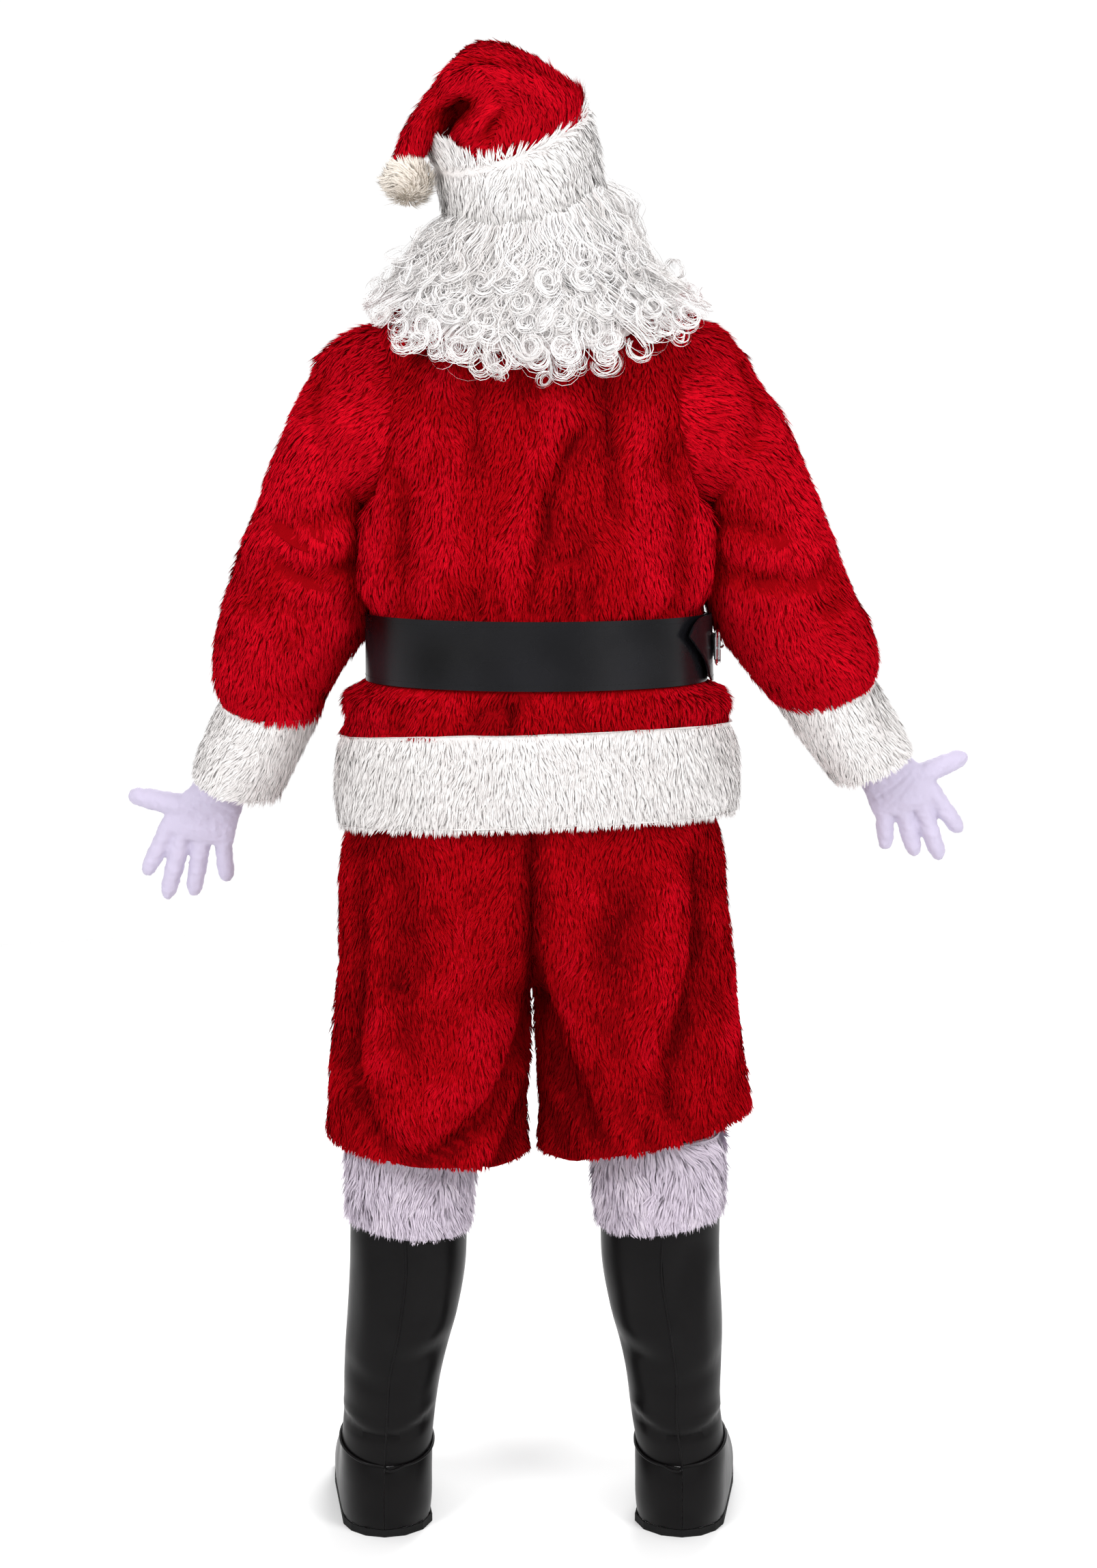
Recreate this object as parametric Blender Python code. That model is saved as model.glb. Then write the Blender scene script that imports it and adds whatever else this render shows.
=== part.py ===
"""A Santa suit as it is worn: plush jacket, knee breeches, fur trims, belt, hat, wig, gloves and boot tops.

Metres, +Z up, +Y the way the wearer faces, so +X is the wearer's right. The origin is on the shoulder line,
where the wearer's shoulders carry the suit. All tables give heights above the ground that the wearer
stands on, and every object hangs on one empty that lies HOLD_HEIGHT below the origin.
"""

import math
from collections import namedtuple

import bmesh
import bpy
from mathutils import Vector

# ---------------------------------------------------------------- driving dimensions
HOLD_HEIGHT = 1.500  # shoulder line above the ground
SEAM = 0.0006  # gap between two pieces at a seam
PILE = 0.006  # how far the plush stands off its backing cloth
PLUSH_WALL = 0.003
FUR_WALL = 0.014  # a fur trim's backing and its pile together
FUR_PROUD = 0.006  # how far a fur trim stands out past the cloth it ends
VINYL_WALL = 0.0015
GLOVE_WALL = 0.0012
WIG_CAP_WALL = 0.002
HAT_WALL = 0.0025

HEM_BAND_TOP = 1.015
HEM_BAND_BOTTOM = 0.905
BELT_BOTTOM = 1.076
BELT_TOP = 1.158
BELT_WALL = 0.0028
BELT_CLEARANCE = 0.0035  # the flattened pile under the belt

HEM_RISE_BACK, HEM_RISE_RIGHT = 0.012, 0.0085  # the jacket's lower edge hangs higher there

ARMHOLE_BOTTOM = 1.288
ARMHOLE_TOP = 1.500
ARMHOLE_HALF_DEPTH = 0.088
ARMHOLE_STEPS = 6  # rows from underarm to shoulder tip
ARMHOLE_MIDDLE = (ARMHOLE_BOTTOM + ARMHOLE_TOP) / 2
ARMHOLE_RADIUS = (ARMHOLE_TOP - ARMHOLE_BOTTOM) / 2
SHOULDER_RISE = 0.03  # above the armhole the body curves over a middle this far below it
SKIRT_HEIGHTS = [HEM_BAND_TOP, 1.055, BELT_BOTTOM, BELT_TOP, 1.182, 1.215, 1.250]
YOKE_HEIGHTS = [1.514, 1.533, 1.552]  # the last is the neck edge
BODY_COLUMNS = 6  # faces across each quarter of the body
BAND_COLUMNS = 12
BAND_ROWS = 3

BACK, RIGHT, FRONT, LEFT = 0.0, 90.0, 180.0, 270.0  # turns round the body, in degrees

# ---------------------------------------------------------------- section tables
# One level ring of the jacket's body: its half width, and its depth behind and before the shoulder line.
Girth = namedtuple("Girth", "height half_width back front")
JACKET = [
    Girth(0.880, 0.240, 0.176, 0.212),
    Girth(0.905, 0.245, 0.180, 0.218),
    Girth(0.960, 0.252, 0.184, 0.224),
    Girth(1.015, 0.245, 0.180, 0.218),
    Girth(1.055, 0.230, 0.173, 0.206),
    Girth(1.076, 0.206, 0.160, 0.192),
    Girth(1.158, 0.206, 0.160, 0.192),
    Girth(1.185, 0.216, 0.170, 0.200),
    Girth(1.235, 0.212, 0.170, 0.192),
    Girth(1.288, 0.207, 0.165, 0.178),
    Girth(1.360, 0.204, 0.156, 0.158),
    Girth(1.430, 0.200, 0.142, 0.132),
    Girth(1.480, 0.198, 0.122, 0.110),
    Girth(1.500, 0.190, 0.110, 0.100),
    Girth(1.526, 0.150, 0.096, 0.092),
    Girth(1.552, 0.093, 0.080, 0.086),
    Girth(1.560, 0.086, 0.076, 0.082),
]

# One slanted section of a tube: the two edges seen from behind, how far it reaches back and front from
# centre_y, and how many degrees it leans so that its back is lower than its front.
Section = namedtuple("Section", "left_x left_z right_x right_z centre_y back front lean")
SLEEVE_LEFT = [
    Section(-0.270, 1.484, -0.218, 1.283, 0.000, 0.094, 0.090, 0),
    Section(-0.304, 1.392, -0.222, 1.262, -0.002, 0.090, 0.086, 3),
    Section(-0.338, 1.313, -0.214, 1.228, 0.000, 0.086, 0.084, 6),
    Section(-0.380, 1.213, -0.211, 1.160, 0.010, 0.088, 0.084, 9),
    Section(-0.408, 1.128, -0.222, 1.104, 0.022, 0.088, 0.082, 12),
    Section(-0.410, 1.078, -0.246, 1.064, 0.030, 0.082, 0.078, 14),
    Section(-0.402, 1.048, -0.257, 1.036, 0.034, 0.074, 0.072, 14),
    Section(-0.424, 1.000, -0.284, 0.982, 0.042, 0.073, 0.070, 14),
    Section(-0.442, 0.952, -0.312, 0.930, 0.050, 0.068, 0.066, 14),
]
SLEEVE_RIGHT = [
    Section(0.220, 1.283, 0.270, 1.484, 0.000, 0.094, 0.090, 0),
    Section(0.225, 1.262, 0.302, 1.392, -0.002, 0.090, 0.086, 3),
    Section(0.218, 1.226, 0.340, 1.313, 0.000, 0.086, 0.084, 6),
    Section(0.218, 1.152, 0.390, 1.210, 0.010, 0.088, 0.084, 9),
    Section(0.240, 1.098, 0.424, 1.140, 0.022, 0.088, 0.082, 12),
    Section(0.266, 1.066, 0.433, 1.102, 0.030, 0.082, 0.078, 14),
    Section(0.286, 1.046, 0.429, 1.076, 0.034, 0.074, 0.072, 14),
    Section(0.320, 1.000, 0.454, 1.030, 0.042, 0.073, 0.070, 14),
    Section(0.358, 0.948, 0.478, 0.986, 0.050, 0.067, 0.065, 14),
]
CUFF_START = 6  # the section where plush ends and the fur cuff begins

# One row of a trouser leg: heights of its outer and inner edge, the outer edge, the middle of the leg's
# oval (at 0 the row is half of the seat's oval), and its depths. Values are distances from the centre line.
LegRow = namedtuple("LegRow", "outer_z inner_z outer middle back front")
BREECHES_CENTRE_X = -0.006
LEG_COLUMNS = 6
BREECHES = {
    "left": [
        LegRow(1.040, 1.040, 0.186, 0.000, 0.150, 0.170),
        LegRow(0.970, 0.970, 0.205, 0.000, 0.162, 0.186),
        LegRow(0.905, 0.905, 0.226, 0.004, 0.164, 0.184),
        LegRow(0.850, 0.850, 0.235, 0.022, 0.163, 0.178),
        LegRow(0.795, 0.792, 0.238, 0.054, 0.158, 0.168),
        LegRow(0.755, 0.748, 0.240, 0.086, 0.153, 0.159),
        LegRow(0.726, 0.717, 0.241, 0.108, 0.149, 0.152),
        LegRow(0.708, 0.699, 0.242, 0.121, 0.146, 0.147),
        LegRow(0.645, 0.636, 0.248, 0.1255, 0.138, 0.140),
        LegRow(0.575, 0.562, 0.254, 0.129, 0.132, 0.136),
        LegRow(0.535, 0.516, 0.259, 0.1315, 0.131, 0.136),
        LegRow(0.505, 0.480, 0.262, 0.133, 0.130, 0.135),
    ],
    "right": [
        LegRow(1.040, 1.040, 0.186, 0.000, 0.150, 0.170),
        LegRow(0.970, 0.970, 0.205, 0.000, 0.162, 0.186),
        LegRow(0.905, 0.905, 0.228, 0.004, 0.164, 0.184),
        LegRow(0.850, 0.850, 0.239, 0.022, 0.163, 0.178),
        LegRow(0.795, 0.792, 0.244, 0.054, 0.158, 0.168),
        LegRow(0.755, 0.748, 0.248, 0.088, 0.153, 0.159),
        LegRow(0.726, 0.717, 0.250, 0.112, 0.149, 0.152),
        LegRow(0.708, 0.699, 0.252, 0.126, 0.146, 0.147),
        LegRow(0.648, 0.636, 0.260, 0.132, 0.138, 0.140),
        LegRow(0.588, 0.562, 0.268, 0.137, 0.132, 0.136),
        LegRow(0.558, 0.520, 0.272, 0.139, 0.131, 0.136),
        LegRow(0.538, 0.484, 0.274, 0.140, 0.130, 0.135),
    ],
}

# Boot tops: the fur collar, then the vinyl shaft down to the ankle seam.
BOOT_FUR_END = 2  # the section where the fur collar ends and the vinyl shaft begins
BOOT_COLUMNS = 7  # faces across each half
BOOT_SHAFT = {
    "left": [
        Section(-0.240, 0.505, -0.078, 0.500, 0.010, 0.078, 0.078, 0),
        Section(-0.240, 0.450, -0.080, 0.440, 0.008, 0.078, 0.078, 0),
        Section(-0.238, 0.396, -0.086, 0.380, 0.004, 0.076, 0.078, 3),
        Section(-0.238, 0.340, -0.086, 0.332, 0.000, 0.076, 0.076, 0),
        Section(-0.242, 0.270, -0.100, 0.266, -0.004, 0.074, 0.074, 0),
        Section(-0.247, 0.208, -0.119, 0.204, -0.006, 0.068, 0.070, 0),
        Section(-0.246, 0.155, -0.127, 0.152, -0.006, 0.064, 0.068, 0),
        Section(-0.250, 0.112, -0.132, 0.104, -0.004, 0.064, 0.070, 16),
    ],
    "right": [
        Section(0.072, 0.500, 0.236, 0.505, 0.010, 0.078, 0.078, 0),
        Section(0.073, 0.440, 0.236, 0.450, 0.008, 0.078, 0.078, 0),
        Section(0.078, 0.386, 0.234, 0.402, 0.004, 0.076, 0.078, 3),
        Section(0.078, 0.334, 0.232, 0.342, 0.000, 0.076, 0.076, 0),
        Section(0.094, 0.266, 0.238, 0.270, -0.004, 0.074, 0.074, 0),
        Section(0.112, 0.204, 0.236, 0.208, -0.006, 0.068, 0.070, 0),
        Section(0.116, 0.152, 0.233, 0.155, -0.006, 0.064, 0.068, 0),
        Section(0.125, 0.104, 0.240, 0.112, -0.004, 0.064, 0.070, 16),
    ],
}
# The foot cover, below the ankle seam and down to the open sole: how far it reaches back, out to each
# side and forward from the ankle's middle along the foot, and its height at back and front.
FootRow = namedtuple("FootRow", "back side toe back_z front_z")
ANKLE_REACH = 0.072  # forward of the ankle's middle, where the foot starts to turn out
FOOT = [
    FootRow(0.068, 0.060, 0.105, 0.072, 0.112),
    FootRow(0.072, 0.060, 0.165, 0.046, 0.082),
    FootRow(0.072, 0.061, 0.210, 0.026, 0.042),
    FootRow(0.066, 0.058, 0.222, 0.010, 0.012),
]
TOE_OUT = 14  # degrees that each foot turns out
TOE_SQUARENESS = 0.62  # 1 is an oval toe, less is a fuller one
TOE_SWING_LENGTH = 0.10  # forward of ANKLE_REACH, where the whole turn is reached
SOLE_BAND_HEIGHT = 0.010
SOLE_BAND_WALL = 0.002

# The hat: fur band, then the crown bending over to the wearer's left, down to the bobble.
HAT_BAND = [
    Section(-0.118, 1.644, 0.086, 1.678, 0.004, 0.118, 0.118, 20),
    Section(-0.123, 1.676, 0.080, 1.724, 0.002, 0.120, 0.116, 20),
    Section(-0.121, 1.706, 0.067, 1.772, 0.000, 0.118, 0.114, 20),
]
HAT_CROWN = [
    Section(-0.1145, 1.7122, 0.0595, 1.7733, 0.000, 0.108, 0.106, 21),
    Section(-0.112, 1.728, 0.048, 1.785, -0.004, 0.106, 0.100, 16),
    Section(-0.104, 1.741, 0.022, 1.802, -0.012, 0.098, 0.088, 8),
    Section(-0.097, 1.748, -0.013, 1.823, -0.022, 0.082, 0.070, 0),
    Section(-0.091, 1.752, -0.050, 1.837, -0.030, 0.065, 0.056, 0),
    Section(-0.092, 1.751, -0.083, 1.831, -0.037, 0.050, 0.045, 0),
    Section(-0.100, 1.744, -0.112, 1.793, -0.042, 0.037, 0.034, 0),
    Section(-0.112, 1.734, -0.138, 1.759, -0.045, 0.027, 0.026, 0),
    Section(-0.127, 1.721, -0.155, 1.730, -0.048, 0.019, 0.019, 0),
    Section(-0.137, 1.7045, -0.163, 1.7045, -0.050, 0.014, 0.014, 0),
]
BOBBLE_CENTRE = Vector((-0.151, -0.052, 1.6735))
BOBBLE_RADIUS = 0.030
HAT_BAND_COLUMNS = 18
CROWN_COLUMNS = 7  # faces across each half

# The wig's hair, from under the hat band to its ends on the shoulders.
HairRow = namedtuple("HairRow", "drop left right back front wall")
HAIR = [
    HairRow(0.00, -0.108, 0.078, 0.106, 0.106, 0.006),
    HairRow(0.10, -0.132, 0.114, 0.120, 0.112, 0.014),
    HairRow(0.32, -0.160, 0.142, 0.136, 0.118, 0.022),
    HairRow(0.56, -0.182, 0.160, 0.148, 0.122, 0.025),
    HairRow(0.80, -0.198, 0.187, 0.168, 0.126, 0.026),
    HairRow(1.00, -0.206, 0.204, 0.184, 0.128, 0.026),
]
HAIR_ENDS_BACK = 1.455
HAIR_ENDS_SIDE = 1.540
HAIR_BELOW_BAND = 0.003
HAIR_REACH = 118.0  # degrees from the back to the hair's front edge
HAIR_SPLIT = 40.0  # degrees from the back where the side pieces begin
HAIR_BACK_STEPS, HAIR_SIDE_STEPS = 5, 4
HAIR_MIDDLE_FALL = 0.12
HAIR_ENDS_BEND = 1.2  # how pointed the hair's lower edge is at the back
CAP_COLUMNS = 14
CAP = [
    Section(-0.092, 1.655, 0.060, 1.688, 0.002, 0.086, 0.086, 20),
    Section(-0.090, 1.690, 0.050, 1.728, 0.000, 0.084, 0.082, 18),
    Section(-0.078, 1.718, 0.030, 1.752, -0.002, 0.068, 0.064, 12),
    Section(-0.056, 1.738, 0.000, 1.758, -0.004, 0.034, 0.032, 6),
]

# A glove's digits: root and tip as seen from behind, how far the tip stands before the root, and radii.
Digit = namedtuple("Digit", "name root_x root_z tip_x tip_z forward root_radius tip_radius")
FINGER_Y, THUMB_Y = 0.066, 0.060  # the digits' roots, before the shoulder line
FINGER_SINK, THUMB_SINK, THUMB_HOLLOW_SINK = 0.012, 0.014, 0.030  # how far a digit's form goes into the palm
DIGIT_FLATNESS = 0.95
# Rings along a digit: the share of its length from the root, and the share of its radius there.
DIGIT_RINGS = [(0.0, 1.0), (0.45, 1.0), (0.82, 0.98), (0.95, 0.72), (1.0, 0.35)]
SUNK_RADIUS = 0.80
DIGIT_SIDES = 6
PALM_SIDES = 10
PALM_END = 0.008  # below the last palm section, where the palm closes between the fingers
PALM_END_INSET = 0.006
WRIST_EXTENSION = 0.02  # how far the hollow's form passes the wrist opening
GLOVES = {
    "left": {
        "wrist": Section(-0.414, 0.964, -0.356, 0.949, 0.052, 0.028, 0.028, 0),
        "palm": [
            Section(-0.436, 0.934, -0.367, 0.914, 0.056, 0.025, 0.025, 0),
            Section(-0.464, 0.910, -0.376, 0.888, 0.062, 0.020, 0.022, 0),
            Section(-0.476, 0.882, -0.382, 0.862, 0.066, 0.016, 0.018, 0),
        ],
        "fingers": [
            Digit("index", -0.463, 0.884, -0.497, 0.818, 0.012, 0.0130, 0.0098),
            Digit("middle", -0.446, 0.877, -0.471, 0.787, 0.014, 0.0135, 0.0102),
            Digit("ring", -0.422, 0.872, -0.437, 0.791, 0.016, 0.0130, 0.0102),
            Digit("little", -0.397, 0.872, -0.394, 0.809, 0.018, 0.0125, 0.0095),
        ],
        "thumb": Digit("thumb", -0.449, 0.910, -0.516, 0.921, 0.020, 0.0155, 0.0110),
    },
    "right": {
        "wrist": Section(0.378, 0.974, 0.440, 0.996, 0.052, 0.028, 0.028, 0),
        "palm": [
            Section(0.398, 0.950, 0.468, 0.973, 0.056, 0.025, 0.025, 0),
            Section(0.414, 0.922, 0.500, 0.950, 0.062, 0.020, 0.022, 0),
            Section(0.423, 0.898, 0.511, 0.922, 0.066, 0.016, 0.018, 0),
        ],
        "fingers": [
            Digit("index", 0.497, 0.927, 0.537, 0.874, 0.012, 0.0130, 0.0098),
            Digit("middle", 0.482, 0.918, 0.512, 0.838, 0.014, 0.0135, 0.0102),
            Digit("ring", 0.459, 0.911, 0.481, 0.843, 0.016, 0.0130, 0.0102),
            Digit("little", 0.438, 0.907, 0.443, 0.851, 0.018, 0.0125, 0.0095),
        ],
        "thumb": Digit("thumb", 0.481, 0.948, 0.543, 0.971, 0.020, 0.0155, 0.0110),
    },
}


# ---------------------------------------------------------------- scene and materials
def clear_scene():
    for obj in list(bpy.data.objects):
        bpy.data.objects.remove(obj, do_unlink=True)


def material(name, colour, roughness, metallic=0.0):
    made = bpy.data.materials.new(name)
    made.use_nodes = True
    shader = made.node_tree.nodes["Principled BSDF"]
    shader.inputs["Base Color"].default_value = (*colour, 1.0)
    shader.inputs["Roughness"].default_value = roughness
    shader.inputs["Metallic"].default_value = metallic
    return made


def collection(name):
    made = bpy.data.collections.new(name)
    bpy.context.scene.collection.children.link(made)
    return made


# ---------------------------------------------------------------- surfaces
def interpolate(keys, rows, key):
    """The row at a key between the rows' own keys, on a smooth cubic through them."""
    last = len(keys) - 1
    rising = keys[-1] > keys[0]
    i = 0
    while i < last - 1 and (key > keys[i + 1] if rising else key < keys[i + 1]):
        i += 1
    span = keys[i + 1] - keys[i]
    t = (key - keys[i]) / span

    def slope(k, column):
        before, after = max(k - 1, 0), min(k + 1, last)
        return (rows[after][column] - rows[before][column]) / (keys[after] - keys[before])

    def blended(column):
        start, end = rows[i][column], rows[i + 1][column]
        lead, trail = slope(i, column) * span, slope(i + 1, column) * span
        return (
            (2 * t**3 - 3 * t**2 + 1) * start
            + (t**3 - 2 * t**2 + t) * lead
            + (3 * t**2 - 2 * t**3) * end
            + (t**3 - t**2) * trail
        )

    return type(rows[0])(*(blended(column) for column in range(len(rows[0]))))


class Surface:
    """A surface round an axis: point(turn, along), in degrees from the back to the right, and its normal."""

    def normal(self, turn, along):
        step_turn, step_along = 0.5, self.step
        across = self.point(turn + step_turn, along) - self.point(turn - step_turn, along)
        lengthways = self.point(turn, along + step_along) - self.point(turn, along - step_along)
        normal = across.cross(lengthways).normalized()
        outward = self.point(turn, along) - self.middle(along)
        return normal if normal.dot(outward) >= 0 else -normal


class JacketBody(Surface):
    """The jacket's body, by turn and height."""

    step = 0.002

    def girth(self, height):
        return interpolate([g.height for g in JACKET], JACKET, height)

    def middle(self, height):
        return Vector((0, 0, height - SHOULDER_RISE if height > ARMHOLE_TOP else height))

    def point(self, turn, height):
        girth = self.girth(height)
        angle = math.radians(turn)
        depth = girth.back if math.cos(angle) > 0 else girth.front
        return Vector((girth.half_width * math.sin(angle), -depth * math.cos(angle), height))


def section_middle(s):
    return Vector(((s.left_x + s.right_x) / 2, s.centre_y, (s.left_z + s.right_z) / 2))


class Tube(Surface):
    """A tube through slanted sections, by turn and section number."""

    step = 0.05

    def __init__(self, sections, inset=0.0):
        self.sections, self.inset = sections, inset

    def section(self, along):
        return interpolate(list(range(len(self.sections))), self.sections, along)

    def middle(self, along):
        return section_middle(self.section(along))

    def point(self, turn, along):
        s = self.section(along)
        angle, lean = math.radians(turn), math.radians(s.lean)
        half = Vector(((s.right_x - s.left_x) / 2, 0, (s.right_z - s.left_z) / 2))
        half *= 1 - self.inset / half.length
        depth = (s.back if math.cos(angle) > 0 else s.front) - self.inset
        reach = -depth * math.cos(angle)
        offset = Vector((0, reach * math.cos(lean), reach * math.sin(lean)))
        return section_middle(s) + half * math.sin(angle) + offset


class Sleeve(Tube):
    """A sleeve. Section 0 is the armhole on the jacket's body, and the table's sections follow it."""

    def __init__(self, sections, side):
        super().__init__(sections, PILE)
        self.sign = -1 if side == "left" else 1

    def armhole(self, turn):
        angle = math.radians(turn)
        height = ARMHOLE_MIDDLE + self.sign * ARMHOLE_RADIUS * math.sin(angle)
        y = -ARMHOLE_HALF_DEPTH * math.cos(angle)
        girth = BODY.girth(height)
        depth = girth.back if y < 0 else girth.front
        return Vector((self.sign * girth.half_width * math.sqrt(max(0.0, 1 - (y / depth) ** 2)), y, height))

    def middle(self, along):
        if along >= 1:
            return super().middle(along - 1)
        start = Vector((self.sign * BODY.girth(ARMHOLE_MIDDLE).half_width, 0, ARMHOLE_MIDDLE))
        return start.lerp(super().middle(0), along)

    def point(self, turn, along):
        if along >= 1:
            return super().point(turn, along - 1)
        return self.armhole(turn).lerp(super().point(turn, 0), along)


class LegHalf(Surface):
    """The breeches on one side, by turn (0 at the outer edge, 90 straight back or front, 180 at the inner
    edge) and row number. face is -1 for the back half and 1 for the front half."""

    step = 0.05

    def __init__(self, side, face):
        self.rows, self.face = BREECHES[side], face
        self.sign = -1 if side == "left" else 1

    def row(self, along):
        return interpolate(list(range(len(self.rows))), self.rows, along)

    def half_width(self, row):
        return row.outer - row.middle

    def end_turn(self, along):
        """The turn where this half meets the centre seam, or 180 at the inseam."""
        row = self.row(along)
        ratio = min(1.0, max(0.0, row.middle / self.half_width(row)))
        return 180 - math.degrees(math.acos(ratio)) if ratio < 1 else 180.0

    def middle(self, along):
        row = self.row(along)
        return Vector((BREECHES_CENTRE_X + self.sign * row.middle, 0, (row.outer_z + row.inner_z) / 2))

    def point(self, turn, along):
        row = self.row(along)
        angle = math.radians(turn)
        depth = row.back if self.face < 0 else row.front
        x = row.middle + self.half_width(row) * math.cos(angle)
        share = (1 - math.cos(angle)) / 2
        return Vector(
            (
                BREECHES_CENTRE_X + self.sign * x,
                self.face * depth * math.sin(angle),
                row.outer_z + (row.inner_z - row.outer_z) * share,
            )
        )


class Foot(Surface):
    """A boot top's foot cover. Row 0 is the ankle seam on the shaft, and the table's rows follow it."""

    step = 0.05

    def __init__(self, side):
        self.shaft = Tube(BOOT_SHAFT[side])
        self.seam = len(BOOT_SHAFT[side]) - 1
        ankle = self.shaft.middle(self.seam)
        self.centre = (ankle.x, ankle.y)
        self.out = math.radians(TOE_OUT * (1 if side == "left" else -1))

    def row(self, along):
        return interpolate(list(range(len(FOOT))), FOOT, max(0.0, along - 1))

    def middle(self, along):
        row = self.row(along)
        return Vector((*self.centre, (row.back_z + row.front_z) / 2))

    def point(self, turn, along):
        if along >= 1:
            return self.cover(turn, along)
        return self.shaft.point(turn, self.seam).lerp(self.cover(turn, 1), along)

    def cover(self, turn, along):
        row = self.row(along)
        angle = math.radians(turn)
        length = row.back if math.cos(angle) > 0 else row.toe
        toe_share = (1 - math.cos(angle)) / 2
        width = abs(math.sin(angle)) ** (TOE_SQUARENESS if math.cos(angle) < 0 else 1.0)
        side, forward = math.copysign(row.side * width, math.sin(angle)), -length * math.cos(angle)
        # Only what lies forward of the ankle turns out with the foot.
        swing = self.out * min(1.0, (row.toe - ANKLE_REACH) / TOE_SWING_LENGTH) * toe_share
        x = side * math.cos(swing) - forward * math.sin(swing)
        y = side * math.sin(swing) + forward * math.cos(swing)
        height = row.back_z + (row.front_z - row.back_z) * toe_share
        return Vector((self.centre[0] + x, self.centre[1] + y, height))


class Hair(Surface):
    """The wig's hair, by turn and by drop from 0 at the top to 1 at its ends."""

    step = 0.02
    band = Tube(HAT_BAND)

    def row(self, drop):
        return interpolate([r.drop for r in HAIR], HAIR, drop)

    def middle(self, drop):
        row = self.row(drop)
        return Vector(((row.left + row.right) / 2, 0, HAT_BAND[0].left_z - HAIR_MIDDLE_FALL * drop))

    def point(self, turn, drop):
        row = self.row(drop)
        angle = math.radians(turn)
        depth = row.back if math.cos(angle) > 0 else row.front
        top = self.band.point(turn, 0).z - HAIR_BELOW_BAND
        backward = max(0.0, math.cos(angle)) ** HAIR_ENDS_BEND
        ends = HAIR_ENDS_SIDE + (HAIR_ENDS_BACK - HAIR_ENDS_SIDE) * backward
        x = (row.left + row.right) / 2 + (row.right - row.left) / 2 * math.sin(angle)
        return Vector((x, -depth * math.cos(angle), top + (ends - top) * drop))


BODY = JacketBody()


# ---------------------------------------------------------------- building walls
def span(first, last, steps):
    return [first + (last - first) * i / steps for i in range(steps + 1)]


def new_object(name, mesh, surface_material, smooth_angle=40):
    obj = bpy.data.objects.new(name, mesh)
    SUIT.objects.link(obj)
    obj.parent = DATUM
    mesh.materials.append(surface_material)
    mesh.shade_smooth()
    mesh.set_sharp_from_angle(angle=math.radians(smooth_angle))
    return obj


def towards(start, end, distance):
    return (end - start).normalized() * distance


def eased_edges(outer, inner, closed):
    """Moves the rims half a seam into the panel, the same for both faces, so that neighbours stand apart."""
    half = SEAM / 2
    moves = [[Vector() for _ in row] for row in outer]
    last_row, last_column = len(outer) - 1, len(outer[0]) - 1
    for j in range(last_column + 1):
        moves[0][j] += towards(outer[0][j], outer[1][j], half)
        moves[last_row][j] += towards(outer[last_row][j], outer[last_row - 1][j], half)
    if not closed:
        for i in range(last_row + 1):
            moves[i][0] += towards(outer[i][0], outer[i][1], half)
            moves[i][last_column] += towards(outer[i][last_column], outer[i][last_column - 1], half)
    for grid in (outer, inner):
        for row, shifts in zip(grid, moves):
            for j, shift in enumerate(shifts):
                row[j] = row[j] + shift


def wall_from_grids(name, outer, inner, surface_material, closed=False):
    """A closed wall between two grids of points. A closed grid joins its last column to its first."""
    work = bmesh.new()
    skins = [[[work.verts.new(p) for p in row] for row in grid] for grid in (outer, inner)]
    columns = len(outer[0])
    pairs = [(j, (j + 1) % columns) for j in range(columns if closed else columns - 1)]
    for skin in skins:
        for below, above in zip(skin, skin[1:]):
            for j, k in pairs:
                work.faces.new((below[j], below[k], above[k], above[j]))
    for i in (0, -1):
        for j, k in pairs:
            work.faces.new((skins[0][i][j], skins[0][i][k], skins[1][i][k], skins[1][i][j]))
    if not closed:
        for j in (0, -1):
            for i in range(len(outer) - 1):
                work.faces.new((skins[0][i][j], skins[0][i + 1][j], skins[1][i + 1][j], skins[1][i][j]))
    bmesh.ops.recalc_face_normals(work, faces=work.faces)
    mesh = bpy.data.meshes.new(name)
    work.to_mesh(mesh)
    work.free()
    return new_object(name, mesh, surface_material)


def panel(name, surface, coordinates, wall, surface_material, proud=0.0, closed=False):
    """A cloth panel on a surface. coordinates holds rows of (turn, along); proud moves it off the surface."""
    outer, inner = [], []
    for row in coordinates:
        normals = [surface.normal(turn, along) for turn, along in row]
        points = [surface.point(turn, along) for turn, along in row]
        walls = [wall(along) if callable(wall) else wall for _, along in row]
        outer.append([p + n * proud for p, n in zip(points, normals)])
        inner.append([p + n * (proud - w) for p, n, w in zip(points, normals, walls)])
    eased_edges(outer, inner, closed)
    return wall_from_grids(name, outer, inner, surface_material, closed)


def share_of(value, whole):
    return max(0.0, min(1.0, value / whole))


def ring_turns(steps, start=0.0):
    return [start + 360 * i / steps for i in range(steps)]


# ---------------------------------------------------------------- jacket
def armhole_heights():
    steps = range(ARMHOLE_STEPS + 1)
    return [ARMHOLE_MIDDLE - ARMHOLE_RADIUS * math.cos(math.pi * i / ARMHOLE_STEPS) for i in steps]


def edge_turn(height, face):
    """The turn, from the back or from the front, where a body panel ends at the side seam or the armhole."""
    inside = 1 - ((height - ARMHOLE_MIDDLE) / ARMHOLE_RADIUS) ** 2
    if inside <= 0:
        return 90.0
    girth = BODY.girth(height)
    depth = girth.back if face == "back" else girth.front
    return math.degrees(math.acos(min(1.0, ARMHOLE_HALF_DEPTH * math.sqrt(inside) / depth)))


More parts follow.
